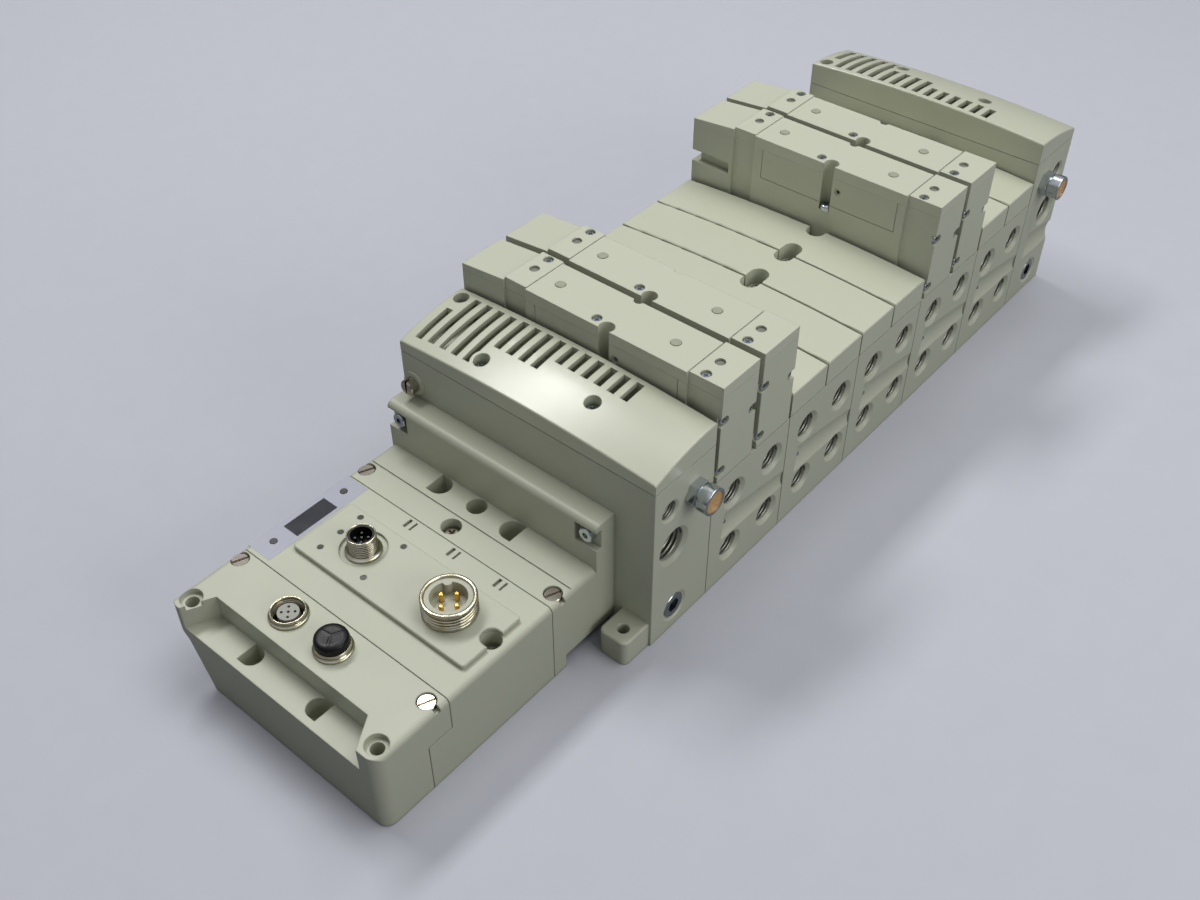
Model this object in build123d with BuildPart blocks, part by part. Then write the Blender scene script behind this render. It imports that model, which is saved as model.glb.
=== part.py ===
from build123d import *
import os

# Frame of the part: X runs along the row from the electronics to the far end plate, the port face
# looks towards -Y, Z is up from the mounting surface. The origin is the middle of the manifold's base.

# Row of manifold blocks
station_pitch = 26.8
stations_in_block = 2
block_count = 5
island_depth = 135.0
block_height = 63.0
joint_gasket = 0.4
block_pitch = station_pitch * stations_in_block
stack_length = block_pitch * block_count
station_count = stations_in_block * block_count
stack_start = -stack_length / 2
stack_end = stack_length / 2
front_y = -island_depth / 2
back_y = island_depth / 2
valve_stations = [0, 1, 6, 7]
blank_stations = [station for station in range(station_count) if station not in valve_stations]

# Threaded ports in the front face of each station
port_shift = 2.5
upper_port_z = 47.8
lower_port_z = 17.0
port_radius = 5.9
port_rim_radius = 7.5
port_thread_length = 14.0
passage_radius = 3.4
upper_passage_y = -18.0
lower_passage_y = 18.0

# Galleries that run through the whole stack
gallery_radius = 8.0
gallery_z = 32.0
gallery_spread = 36.0
riser_radius = 2.8
riser_shift = -6.4

# Slanting label recess between the two rows of ports
recess_tool_radius = 12.0
recess_start_shift = 9.0
recess_start_z = 33.0
recess_end_z = 28.5
recess_start_depth = 2.6
recess_end_depth = 0.8

# Tie rods
rod_radius = 3.0
rod_hole_radius = 3.2
rod_head_radius = 5.0
rod_head_height = 5.0
rod_head_sink = 6.0
rod_end_depth = 14.0
rod_places = [(-56.5, 32.4), (58.0, 48.0), (58.0, 14.0)]

# Gaskets and fixing screws under the valves and blanking plates
station_gasket = 0.4
gasket_width = 24.6
gasket_length = 112.0
fixing_shift = -10.2
fixing_y = -10.0
fixing_shank_radius = 1.5
fixing_hole_radius = 1.55
fixing_head_radius = 2.9
fixing_head_height = 2.6
fixing_thread_depth = 9.0
relief_radius = 2.3
relief_shift = 11.5
relief_y = -8.7
station_base_z = block_height + station_gasket

# Blanking plates
blank_gap = 0.9
blank_edge_height = 12.2
blank_crown = 2.6
blank_seat_z = 70.0
blank_pocket_radius = 4.5
blank_pocket_shift = -8.7
blank_relief_shift = 10.7
blank_pocket_y = -9.4
blank_corner = 0.8

# Valves
valve_width = 23.4
valve_main_shift = -0.6
valve_cap_shift = 0.5
valve_split_z = 106.5
valve_top_z = 112.0
valve_tail_drop = 0.8
valve_tail_end_z = 108.8
front_cap_length = 16.4
back_cap_line_y = 31.8
tail_line_y = 43.8
valve_seat_z = 88.0
valve_pocket_radius = 3.4
spool_z = 77.0
spool_bore_radius = 6.0
spool_clearance = 0.05
spool_length = 74.0
spool_end_gap = 0.3
spool_travel = 6.0
spool_waist_radius = 3.8
spool_land = 9.0
spool_groove = 7.25
pilot_radius = 7.0
pilot_clearance = 0.2
pilot_length = 22.0
pilot_z = 92.0
front_pilot_y = -51.0
back_pilot_y = 45.0
tail_slot_length = 22.0
tail_slot_z = 86.0
tail_slot_height = 6.0
tail_slot_depth = 3.2
side_panel_low_z = 91.5
side_line = 0.3
top_line = 0.5

# Push buttons and lights in the valve covers
button_hole_radius = 2.2
button_clearance = 0.08
button_sink = 1.0
button_flange_radius = 3.3
button_flange_height = 1.2
button_travel = 1.4
button_play = 0.3
button_end_gap = 0.6
front_button_y = -56.9
back_button_y = 38.3
button_shift = 0.9
light_radius = 2.3
light_depth = 1.0
front_light_y = -36.8
back_light_y = 22.6
small_screw_radius = 2.1
small_screw_height = 1.2
small_screw_sink = 0.8
small_screw_fit = 0.15
small_shank_radius = 1.2
small_shank_fit = 0.05
small_shank_length = 8.0
top_screw_places = [(9.5, 38.2), (-8.2, -3.2), (-8.2, -57.0)]
face_pocket_depth = 2.0
face_screw_places = [(-8.6, 94.4), (-8.6, 68.5), (9.6, 88.4)]
face_notch_length = 4.0
face_notch_places = [(-10.6, 94.4), (-10.6, 68.5), (11.6, 88.4)]

# End plates
end_width = 37.4
end_base_height = 85.5
end_cover_outer_z = end_base_height + 5.2
end_cover_inner_z = end_base_height + 11.5
end_cover_bow = 1.5
end_crown = 2.6
cover_wall = 2.5
chamber_wall = 4.5
chamber_floor_z = end_base_height - 25.0
chamber_front_y = -42.0
chamber_back_y = 54.0
chamber_corner = 3.0
slot_pitch = 6.68
first_slot_y = 61.0
vent_count = 15
vent_width = 3.6
vent_ends = {
    0: (4.5, end_width - 13.9),
    1: (5.0, end_width - 3.4),
    5: (16.5, end_width - 2.9),
    9: (23.5, end_width - 2.9),
}
cover_boss_radius = 5.0
cover_hole_radius = 3.5
cover_screw_depth = 3.4
cover_screw_spots = [(end_width - 5.9, 62.3), (8.5, 28.5), (15.8, -23.8)]
cover_screw_bite = 9.0
small_port = (9.8, 70.5)
small_port_radius = 4.3
small_port_rim = 5.3
small_port_depth = 12.0
small_passage_radius = 2.2
silencer_spot = (24.8, 70.5)
silencer_thread_radius = 4.6
silencer_thread_fit = 0.05
silencer_thread_length = 9.0
silencer_passage_radius = 3.0
big_port = (13.1, 49.0)
big_port_radius = 7.6
big_port_rim = 9.2
big_port_depth = 32.0
supply_radius = 5.0
plug_spot = (15.4, 11.6)
plug_radius = 6.3
plug_fit = 0.05
plug_rim = 7.4
plug_length = 11.0
plug_key = 6.0
plug_sink = 0.4
end_gallery_depth = 28.0
vent_riser_x = 27.8
vent_riser_radius = 4.5
foot_length = 15.2
foot_width = 14.3
foot_inset = 1.0
foot_height = 12.9
foot_corner = 3.0
foot_hole_radius = 2.6
foot_hole_x = 8.5
foot_hole_y = 7.5

# Silencers
silencer_hex = 11.0
silencer_hex_length = 4.0
silencer_neck_radius = 5.0
silencer_neck_length = 1.2
silencer_cup_radius = 6.2
silencer_cup_length = 4.8
silencer_disc_radius = 5.0
silencer_disc_fit = 0.05
silencer_disc_depth = 3.0
silencer_disc_sink = 0.5

# Electronics modules
module_front_y = -48.1
module_back_y = back_y
module_top_z = 41.5
module_gap = 0.3
module_edge = 2.6
module_lip_z = 29.0
module_lip_y = back_y - 0.9
module_skirt_z = 23.8
module_skirt_y = back_y - 7.2
module_foot_y = back_y - 16.5
adapter_end = stack_start - end_width
adapter_length = 36.9
comm_length = 55.4
comm_toe_length = 12.3
comm_toe_z = 25.0
end_module_length = 36.2
comm_end = adapter_end - adapter_length
comm_start = comm_end - comm_length
end_module_start = comm_start - end_module_length
comm_middle = end_module_length + comm_length / 2
adapter_start = end_module_length + comm_length
shell_wall = 2.8
shell_floor = 4.0
roof_z = 36.0
cavity_front_y = -34.0
cavity_back_y = 48.0
shelf_z = 29.5
shelf_back_y = 64.0

# Ledge and pockets of the end module
ledge_depth = 12.9
ledge_z = 30.0
front_post = (9.5, 17.3)
back_post = (6.4, 12.7)
plan_corner = 5.0
corner_hole_x = 6.4
corner_hole_inset = 5.7
corner_hole_radius = 2.75
corner_bore_radius = 4.6
corner_bore_depth = 2.5
pocket_x = 8.0
pocket_radius = 4.7
pocket_flat = 3.4
pocket_spots = [(30.4, 1), (-7.4, -1)]
pocket_floor_z = 20.0
pocket_hole_radius = 2.2

# Slotted screws of the modules
slotted_head_radius = 3.6
slotted_head_height = 2.2
slotted_sink = 0.6
slotted_bore_fit = 0.3
slotted_turn = -23.0
slotted_shank_radius = 1.6
slotted_shank_length = 9.0
slotted_shank_fit = 0.05
slotted_groove = 1.1
slotted_channel = 2.6
slotted_places = [
    (end_module_length - 5.7, -42.3),
    (end_module_length - 4.9, 63.6),
    (adapter_start + 6.0, -43.0),
    (adapter_start + 7.0, 63.6),
]

# Round connectors
m12_radius = 6.0
m12_flange_radius = 7.9
m12_flange = 1.0
m12_bore_radius = 5.2
socket_rim_radius = 7.0
socket_bore_radius = 6.2
socket_insert_radius = 4.3
socket_height = 3.0
socket_insert_sink = 1.2
insert_fit = 0.05
socket_x = 25.0
socket_y = 26.4
capped_x = 25.2
capped_y = 1.3
connector_foot_z = 35.0
connector_bore_z = 37.0
connector_fit = 0.05
contact_radius = 0.5
contact_circle = 2.6
socket_hole_radius = 0.6
socket_hole_depth = 4.0

# Dust cap
cap_radius = 6.9
cap_top_z = 49.0
cap_edge = 1.2
cap_thread_clearance = 0.3
cap_lift = 0.3
cap_stem_length = 2.6
cap_stem_wall = 0.8

# Communication module
plate_start = comm_middle - 15.4
plate_end = comm_middle + 15.9
plate_front_y = -43.0
plate_back_y = 51.7
plate_rise = 2.2
plate_pocket_z = 33.5
plate_screw_radius = 2.8
plate_screw_height = 2.2
plate_corner = 1.5
plate_notch_radius = 4.3
plate_notch_x = comm_middle + 1.5
plate_notch_y = -41.0
ring_radius = 9.8
ring_depth = 1.2
data_x = comm_middle + 1.6
data_y = 28.8
data_height = 9.3
data_flange_radius = 7.6
data_floor_height = 4.0
data_pin_rise = 3.4
data_insert_sink = 0.4
data_wall = 0.7
power_x = comm_middle + 0.9
power_y = -20.3
power_radius = 11.1
power_neck_radius = 10.6
power_bore_radius = 9.4
power_height = 8.8
power_floor_height = 2.4
power_wall = 1.9
power_insert_sink = 0.9
power_key_radius = 1.8
power_key_angle = 48.0
power_pin_radius = 1.0
power_pin_circle = 4.2
power_pin_count = 4
power_pin_rise = 4.0
lamp_radius = 1.3
lamp_depth = 3.0
lamp_columns = [comm_middle + 12.4, comm_middle + 1.7, comm_middle - 9.0]
lamp_spots = [(column, 42.4) for column in lamp_columns] + [(lamp_columns[0], 17.2), (lamp_columns[2], 17.2)]
label_start = end_module_length + 2.0
label_end = adapter_start - 0.8
label_front_y = 54.2
label_back_y = 66.9
label_thickness = 0.4
window_start = comm_middle - 9.9
window_end = comm_middle + 11.5
window_front_y = 55.7
window_back_y = 64.3
window_thickness = 0.7
window_sink = 0.1
key_radius = 1.6
key_clearance = 0.08
key_rise = 0.3
key_travel = 0.4
key_flange_radius = 2.6
key_flange_height = 0.8
key_play = 0.3
key_tail = 0.8
set_key_x = label_start + 7.9
next_key_x = label_end - 7.4
key_y = 60.9
bar_x = adapter_start - 3.9
bar_spots = [25.5, 0.9, -24.5]
bar_length = 4.6
bar_widths = [1.5, 0.9]
bar_spacing = 3.2
bar_depth = 1.5

# Adapter
strip_width = 12.1
strip_line = 0.5
step_x = adapter_start + 25.8
step_top_z = 64.7
step_edge = 3.0
underside_z = 7.0
underside_x = adapter_start + 7.1
adapter_pocket_x = adapter_start + 20.4
adapter_pocket_radius = 5.2
adapter_pocket_flat = 3.5
adapter_pocket_depth = 14.0
adapter_pocket_spots = [(32.8, 1), (-8.0, -1)]
adapter_hole_x = adapter_start + 21.1
adapter_hole_y = 12.3
adapter_hole_radius = 4.4
strip_hole_x = adapter_start + 6.2
strip_hole_depth = 6.0
step_notch_depth = 3.2
step_notch_width = 11.0
step_notch_height = 9.8
socket_head_radius = 3.3
socket_head_height = 3.0
socket_shank_radius = 2.0
socket_shank_length = 14.0
socket_shank_fit = 0.05
socket_screw_z = 57.0
socket_screw_inset = 5.8
socket_key = 2.5
rod_key = 5.0
earth_y = 61.0
earth_z = 71.5
earth_boss_radius = 5.5
earth_boss_rise = 1.0
earth_head_height = 4.2

# Circuit boards
board_thickness = 1.6
board_margin = 2.0
board_post = 6.0
board_post_radius = 3.0
board_part_height = 2.5

export_folder = "parts"
os.makedirs(export_folder, exist_ok=True)


def save(part, label):
    """Label a finished piece and write it as one STEP file."""
    part.label = label
    export_step(part, f"{export_folder}/{label}.step")


def station_x(station):
    """Centre of a station along the row."""
    return stack_start + station_pitch * (station + 0.5)


def module_x(distance):
    """Place along the row, counted from the outer end of the electronics."""
    return end_module_start + distance


def end_x(distance):
    """Place along the row, counted from the outer face of the left end plate."""
    return adapter_end + distance


def crown_radius(rise):
    """Radius of an arc over the island's depth that rises by this much in the middle."""
    return ((island_depth / 2) ** 2 + rise**2) / (2 * rise)


port_face = Plane.XZ.offset(island_depth / 2)

# Stock screws, each with its seat at the origin and its head upwards.

# Zinc plated pan head screw with a cross recess
def cross_screw(head_radius, head_height, shank_radius, shank_length):
    with BuildPart() as screw:
        with BuildSketch(Plane.XY):
            Circle(head_radius)
        extrude(amount=head_height)
        fillet(screw.edges().sort_by(Axis.Z)[-1], head_height * 0.45)
        with BuildSketch(Plane.XY):
            Circle(shank_radius)
        extrude(amount=-shank_length)
        with BuildSketch(Plane.XY.offset(head_height)):
            Rectangle(head_radius * 1.1, head_radius * 0.28)
            Rectangle(head_radius * 0.28, head_radius * 1.1)
        extrude(amount=-head_height * 0.6, mode=Mode.SUBTRACT)
    return screw.part


# Nickel plated cheese head screw with a straight slot
def slotted_screw(shank_length, head_height=slotted_head_height):
    with BuildPart() as screw:
        with BuildSketch(Plane.XY):
            Circle(slotted_head_radius)
        extrude(amount=head_height)
        chamfer(screw.edges().sort_by(Axis.Z)[-1], head_height * 0.14)
        with BuildSketch(Plane.XY):
            Circle(slotted_shank_radius)
        extrude(amount=-shank_length)
        with BuildSketch(Plane.XY.offset(head_height)):
            Rectangle(slotted_head_radius * 3, slotted_groove)
        extrude(amount=-head_height * 0.5, mode=Mode.SUBTRACT)
    return screw.part


# Steel cap screw with a hexagon socket
def socket_screw(head_radius, head_height, shank_radius, shank_length, key):
    with BuildPart() as screw:
        with BuildSketch(Plane.XY):
            Circle(head_radius)
        extrude(amount=head_height)
        chamfer(screw.edges().sort_by(Axis.Z)[-1], 0.3)
        with BuildSketch(Plane.XY):
            Circle(shank_radius)
        extrude(amount=-shank_length)
        with BuildSketch(Plane.XY.offset(head_height)):
            RegularPolygon(radius=key / 2, side_count=6, major_radius=False)
        extrude(amount=-head_height * 0.65, mode=Mode.SUBTRACT)
    return screw.part


# Manifold blocks, cast and machined, two stations each
gallery_spots = [(-gallery_spread, gallery_z), (0, gallery_z), (gallery_spread, gallery_z)]

with BuildPart() as recess_tool:
    recess_length = block_pitch - recess_start_shift
    start_offset = recess_tool_radius - recess_start_depth
    end_offset = recess_tool_radius - recess_end_depth
    recess_start = Vector(recess_start_shift, -start_offset, recess_start_z)
    recess_finish = Vector(block_pitch + 1.0, -end_offset, recess_end_z)
    recess_run = recess_finish - recess_start
    with BuildSketch(Plane(origin=recess_start, z_dir=recess_run)):
        Circle(recess_tool_radius)
    extrude(amount=recess_run.length)
recess_shape = recess_tool.part

for block_index in range(block_count):
    block_start = stack_start + block_pitch * block_index
    block_middle = block_start + block_pitch / 2
    block_stations = [block_index * stations_in_block + place for place in range(stations_in_block)]
    with BuildPart() as manifold_block:
        with BuildSketch(Plane.XY):
            with Locations((block_middle, 0)):
                Rectangle(block_pitch - joint_gasket, island_depth)
        extrude(amount=block_height)
        with BuildSketch(Plane.YZ.offset(block_start)):
            with Locations(*gallery_spots):
                Circle(gallery_radius)
            with Locations(*rod_places):
                Circle(rod_hole_radius)
        extrude(amount=block_pitch, mode=Mode.SUBTRACT)
        for station in block_stations:
            port_x = station_x(station) + port_shift
            riser_x = station_x(station) + riser_shift
            for port_z, passage_y in ((upper_port_z, upper_passage_y), (lower_port_z, lower_passage_y)):
                with Locations(port_face.location):
                    with Locations((port_x, port_z)):
                        CounterSinkHole(
                            port_radius, port_rim_radius, depth=port_thread_length, counter_sink_angle=90
                        )
                with BuildSketch(port_face):
                    with Locations((port_x, port_z)):
                        Circle(passage_radius)
                extrude(amount=front_y - passage_y, mode=Mode.SUBTRACT)
                with BuildSketch(Plane.XY.offset(block_height)):
                    with Locations((port_x, passage_y)):
                        Circle(passage_radius)
                extrude(amount=port_z - block_height, mode=Mode.SUBTRACT)
            with BuildSketch(Plane.XY.offset(block_height)):
                with Locations(*[(riser_x, gallery_y) for gallery_y, _ in gallery_spots]):
                    Circle(riser_radius)
            extrude(amount=gallery_z - block_height, mode=Mode.SUBTRACT)
            with BuildSketch(Plane.XY.offset(block_height)):
                with Locations((station_x(station) + fixing_shift, fixing_y)):
                    Circle(fixing_hole_radius)
            extrude(amount=-fixing_thread_depth, mode=Mode.SUBTRACT)
        with Locations((block_start, front_y, 0)):
            add(recess_shape, mode=Mode.SUBTRACT)
    save(manifold_block.part, f"manifold_block_{block_index + 1}")

# Rubber gaskets between the blocks and the end plates
with BuildPart() as block_gaskets:
    joint_places = [stack_start + block_pitch * place for place in range(block_count + 1)]
    for joint_x in joint_places:
        with BuildSketch(Plane.YZ.offset(joint_x - joint_gasket / 2)):
            with Locations((0, block_height / 2)):
                RectangleRounded(island_depth - 3.0, block_height - 3.0, 2.0)
            with Locations(*gallery_spots):
                Circle(gallery_radius, mode=Mode.SUBTRACT)
            with Locations(*rod_places):
                Circle(rod_hole_radius, mode=Mode.SUBTRACT)
        extrude(amount=joint_gasket)
save(block_gaskets.part, "block_gaskets")

# Rubber gaskets under every valve and blanking plate
with BuildPart() as station_gaskets:
    for station in range(station_count):
        with BuildSketch(Plane.XY.offset(block_height)):
            with Locations((station_x(station), 0)):
                RectangleRounded(gasket_width, gasket_length, 1.0)
            with Locations((station_x(station) + port_shift, upper_passage_y)):
                Circle(passage_radius, mode=Mode.SUBTRACT)
            with Locations((station_x(station) + port_shift, lower_passage_y)):
                Circle(passage_radius, mode=Mode.SUBTRACT)
            with Locations(*[(station_x(station) + riser_shift, spot[0]) for spot in gallery_spots]):
                Circle(riser_radius, mode=Mode.SUBTRACT)
            with Locations((station_x(station) + fixing_shift, fixing_y)):
                Circle(fixing_hole_radius, mode=Mode.SUBTRACT)
        extrude(amount=station_gasket)
save(station_gaskets.part, "station_gaskets")

# Blanking plates with an arched top and a screw pocket shared with the neighbour
blank_width = station_pitch - blank_gap
blank_low_z = station_base_z
blank_end_z = block_height + blank_edge_height + station_gasket

with BuildPart() as blanking_plate:
    with BuildSketch(Plane.YZ.offset(-blank_width / 2)):
        with BuildLine():
            Polyline(
                (front_y, blank_end_z), (front_y, blank_low_z), (back_y, blank_low_z), (back_y, blank_end_z)
            )
            ThreePointArc((back_y, blank_end_z), (0, blank_end_z + blank_crown), (front_y, blank_end_z))
        make_face()
    extrude(amount=blank_width)
    fillet(blanking_plate.faces().sort_by(Axis.Z)[-1].edges(), blank_corner)
    with BuildSketch(Plane.XY.offset(blank_seat_z)):
        with Locations((blank_pocket_shift, blank_pocket_y), (blank_relief_shift, blank_pocket_y)):
            Circle(blank_pocket_radius)
        with Locations((blank_pocket_shift - blank_pocket_radius, blank_pocket_y)):
            Rectangle(2 * blank_pocket_radius, 2 * blank_pocket_radius)
        with Locations((blank_relief_shift + blank_pocket_radius, blank_pocket_y)):
            Rectangle(2 * blank_pocket_radius, 2 * blank_pocket_radius)
    extrude(amount=blank_end_z, mode=Mode.SUBTRACT)
    with BuildSketch(Plane.XY):
        with Locations((fixing_shift, fixing_y)):
            Circle(fixing_hole_radius)
    extrude(amount=blank_end_z, mode=Mode.SUBTRACT)
    with BuildSketch(Plane.XY):
        with Locations((port_shift, upper_passage_y), (port_shift, lower_passage_y)):
            Circle(passage_radius)
        with Locations(*[(riser_shift, gallery_y) for gallery_y, _ in gallery_spots]):
            Circle(riser_radius)
    extrude(amount=blank_low_z + 1.5, mode=Mode.SUBTRACT)

with BuildPart() as blanking_plates:
    with Locations(*[(station_x(station), 0, 0) for station in blank_stations]):
        add(blanking_plate.part)
save(blanking_plates.part, "blanking_plates")

# Valve outline: the main part and the two caps stand slightly aside from each other
front_cap_y = front_y + front_cap_length


def valve_plan():
    with BuildSketch() as plan:
        with Locations((valve_main_shift, (front_cap_y + back_cap_line_y) / 2)):
            Rectangle(valve_width, back_cap_line_y - front_cap_y)
        with Locations((valve_cap_shift, (front_y + front_cap_y) / 2)):
            Rectangle(valve_width, front_cap_length)
        with Locations((valve_cap_shift, (back_cap_line_y + tail_line_y) / 2)):
            Rectangle(valve_width, tail_line_y - back_cap_line_y)
        with Locations((valve_main_shift, (tail_line_y + back_y) / 2)):
            Rectangle(valve_width, back_y - tail_line_y)
    return plan.sketch


def channel_plan():
    with BuildSketch() as plan:
        with Locations((fixing_shift, fixing_y)):
            Circle(valve_pocket_radius)
        with Locations((relief_shift, relief_y)):
            Circle(relief_radius)
    return plan.sketch


spool_room = spool_length + spool_travel + 2 * spool_end_gap
spool_room_start = -spool_room / 2
panel_left = valve_main_shift - valve_width / 2
panel_back_y = 26.5
panel_front_y = -47.0
room_width = 2 * (button_flange_radius + button_travel)

with BuildPart() as valve_body:
    with BuildSketch(Plane.XY.offset(station_base_z)):
        add(valve_plan())
    extrude(amount=valve_split_z - station_base_z)
    with BuildSketch(Plane.XY.offset(valve_seat_z)):
        add(channel_plan())
    extrude(amount=valve_split_z - valve_seat_z, mode=Mode.SUBTRACT)
    with BuildSketch(Plane.XY.offset(station_base_z)):
        with Locations((fixing_shift, fixing_y)):
            Circle(fixing_hole_radius)
    extrude(amount=valve_seat_z - station_base_z, mode=Mode.SUBTRACT)
    with BuildSketch(Plane.XZ.offset(-spool_room_start)):
        with Locations((0, spool_z)):
            Circle(spool_bore_radius)
    extrude(amount=-spool_room, mode=Mode.SUBTRACT)
    with BuildSketch(Plane.XY.offset(station_base_z)):
        with Locations((port_shift, upper_passage_y), (port_shift, lower_passage_y)):
            Circle(riser_radius)
        with Locations(*[(riser_shift + 3.0, gallery_y) for gallery_y, _ in gallery_spots]):
            Circle(1.6)
    extrude(amount=spool_z - station_base_z, mode=Mode.SUBTRACT)
    for pilot_y in (front_pilot_y, back_pilot_y):
        with BuildSketch(Plane.XZ.offset(-(pilot_y - pilot_length / 2 - pilot_clearance))):
            with Locations((0, pilot_z)):
                Circle(pilot_radius + pilot_clearance)
            with Locations((button_shift, (pilot_z + valve_split_z) / 2)):
                Rectangle(room_width, valve_split_z - pilot_z)
        extrude(amount=-(pilot_length + 2 * pilot_clearance), mode=Mode.SUBTRACT)
    with BuildSketch(Plane.XY.offset(tail_slot_z)):
        with Locations((panel_left + tail_slot_depth / 2, back_y - tail_slot_length / 2)):
            Rectangle(tail_slot_depth, tail_slot_length)
        with Locations((0, back_y - tail_slot_depth / 2)):
            Rectangle(station_pitch, tail_slot_depth)
    extrude(amount=tail_slot_height, mode=Mode.SUBTRACT)
    with BuildSketch(port_face):
        with Locations(*face_screw_places):
            Circle(small_screw_radius + small_screw_fit)
        with Locations(*face_notch_places):
            Rectangle(face_notch_length, 2 * (small_screw_radius + small_screw_fit))
    extrude(amount=-face_pocket_depth, mode=Mode.SUBTRACT)
    with BuildSketch(port_face):
        with Locations(*face_screw_places):
            Circle(small_shank_radius + small_shank_fit)
    extrude(amount=-face_pocket_depth - small_shank_length, mode=Mode.SUBTRACT)
    with BuildSketch(Plane.XY.offset(valve_split_z)):
        with Locations(*top_screw_places):
            Circle(small_shank_radius + small_shank_fit)
    extrude(amount=-small_shank_length, mode=Mode.SUBTRACT)
    with BuildSketch(Plane.YZ.offset(panel_left)):
        with Locations((panel_back_y, (side_panel_low_z + valve_split_z) / 2)):
            Rectangle(side_line, valve_split_z - side_panel_low_z)
        with Locations((panel_front_y, (side_panel_low_z + valve_split_z) / 2)):
            Rectangle(side_line, valve_split_z - side_panel_low_z)
        with Locations(((panel_front_y + panel_back_y) / 2, side_panel_low_z)):
            Rectangle(panel_back_y - panel_front_y, side_line)
    extrude(amount=side_line, mode=Mode.SUBTRACT)
    with Locations(Plane.YZ.offset(panel_left).location):
        with Locations(Location((fixing_y - 6.0, 99.9, 0), (180, 0, 0))):
            CounterBoreHole(1.0, 1.8, 0.4, depth=4.0)

# Moulded valve cover with its sloping tail
cover_slope = [
    (tail_line_y, valve_top_z - valve_tail_drop),
    (tail_line_y, valve_top_z + 1.0),
    (back_y + 1.0, valve_top_z + 1.0),
    (back_y + 1.0, valve_tail_end_z),
    (back_y, valve_tail_end_z),
]
button_places = [(button_shift, front_button_y), (button_shift, back_button_y)]
light_places = [(valve_main_shift, front_light_y), (valve_main_shift, back_light_y)]

with BuildPart() as valve_cover:
    with BuildSketch(Plane.XY.offset(valve_split_z)):
        add(valve_plan())
    extrude(amount=valve_top_z - valve_split_z)
    with BuildSketch(Plane.YZ.offset(-station_pitch)):
        with BuildLine():
            Polyline(*cover_slope, close=True)
        make_face()
    extrude(amount=2 * station_pitch, mode=Mode.SUBTRACT)
    with BuildSketch(Plane.XY.offset(valve_split_z)):
        add(channel_plan())
        with Locations(*button_places):
            Circle(button_hole_radius)
    extrude(amount=valve_top_z - valve_split_z, mode=Mode.SUBTRACT)
    with BuildSketch(Plane.XY.offset(valve_top_z)):
        with Locations(*light_places):
            Circle(light_radius)
    extrude(amount=-light_depth, mode=Mode.SUBTRACT)
    with BuildSketch(Plane.XY.offset(valve_top_z)):
        with Locations(*top_screw_places):
            Circle(small_screw_radius + small_screw_fit)
    extrude(amount=-small_screw_sink - small_screw_height, mode=Mode.SUBTRACT)
    with BuildSketch(Plane.XY.offset(valve_split_z)):
        with Locations(*top_screw_places):
            Circle(small_shank_radius + small_shank_fit)
    extrude(amount=valve_top_z - valve_split_z, mode=Mode.SUBTRACT)
    with BuildSketch(Plane.XY.offset(valve_top_z)):
        with Locations((0, front_cap_y), (0, back_cap_line_y)):
            Rectangle(station_pitch, top_line)
    extrude(amount=-0.4, mode=Mode.SUBTRACT)

# Spool: a turned steel bar with lands and grooves
spool_radius = spool_bore_radius - spool_clearance
spool_start = spool_room_start + spool_end_gap

with BuildPart() as valve_spool:
    with BuildSketch(Plane.XZ.offset(-spool_start)):
        with Locations((0, spool_z)):
            Circle(spool_radius)
    extrude(amount=-spool_length)
    groove_step = spool_land + spool_groove
    groove_starts = [spool_start + spool_land + groove_step * place for place in range(4)]
    for groove_start in groove_starts:
        with BuildSketch(Plane.XZ.offset(-groove_start)):
            with Locations((0, spool_z)):
                Circle(spool_radius + 1.0)
                Circle(spool_waist_radius, mode=Mode.SUBTRACT)
        extrude(amount=-spool_groove, mode=Mode.SUBTRACT)

# Push button of the manual override, with a flange that keeps it under the cover
with BuildPart() as override_button:
    button_top_z = valve_top_z - button_sink
    button_foot_z = pilot_z + pilot_radius + button_travel + button_end_gap
    with BuildSketch(Plane.XY.offset(button_foot_z)):
        Circle(button_hole_radius - button_clearance)
    extrude(amount=button_top_z - button_foot_z)
    fillet(override_button.edges().sort_by(Axis.Z)[-1], 0.3)
    with BuildSketch(Plane.XY.offset(valve_split_z - button_play - button_flange_height)):
        Circle(button_flange_radius)
    extrude(amount=button_flange_height)

for valve_index, station in enumerate(valve_stations):
    valve_name = f"valve_{valve_index + 1}"
    valve_place = (station_x(station), 0, 0)
    with BuildPart() as placed_body:
        with Locations(valve_place):
            add(valve_body.part)
    save(placed_body.part, f"{valve_name}_body")
    with BuildPart() as placed_cover:
        with Locations(valve_place):
            add(valve_cover.part)
    save(placed_cover.part, f"{valve_name}_cover")
    with BuildPart() as placed_spool:
        with Locations(valve_place):
            add(valve_spool.part)
    save(placed_spool.part, f"{valve_name}_spool")
    for button_side, button_place in zip(("front", "back"), button_places):
        with BuildPart() as placed_button:
            with Locations((station_x(station) + button_place[0], button_place[1], 0)):
                add(override_button.part)
        save(placed_button.part, f"{valve_name}_{button_side}_button")

# Sealed pilot solenoids, two in each valve
with BuildPart() as pilot_solenoid:
    with BuildSketch(Plane.XZ.offset(pilot_length / 2)):
        with Locations((0, pilot_z)):
            Circle(pilot_radius)
    extrude(amount=-pilot_length)

with BuildPart() as pilot_solenoids:
    with Locations(
        *[
            (station_x(station), pilot_y, 0)
            for station in valve_stations
            for pilot_y in (front_pilot_y, back_pilot_y)
        ]
    ):
        add(pilot_solenoid.part)
save(pilot_solenoids.part, "pilot_solenoids")

# Small cross recess screws in the valve covers and in the front of the valve caps
small_screw = cross_screw(small_screw_radius, small_screw_height, small_shank_radius, small_shank_length)
small_seat_z = valve_top_z - small_screw_sink - small_screw_height

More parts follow.
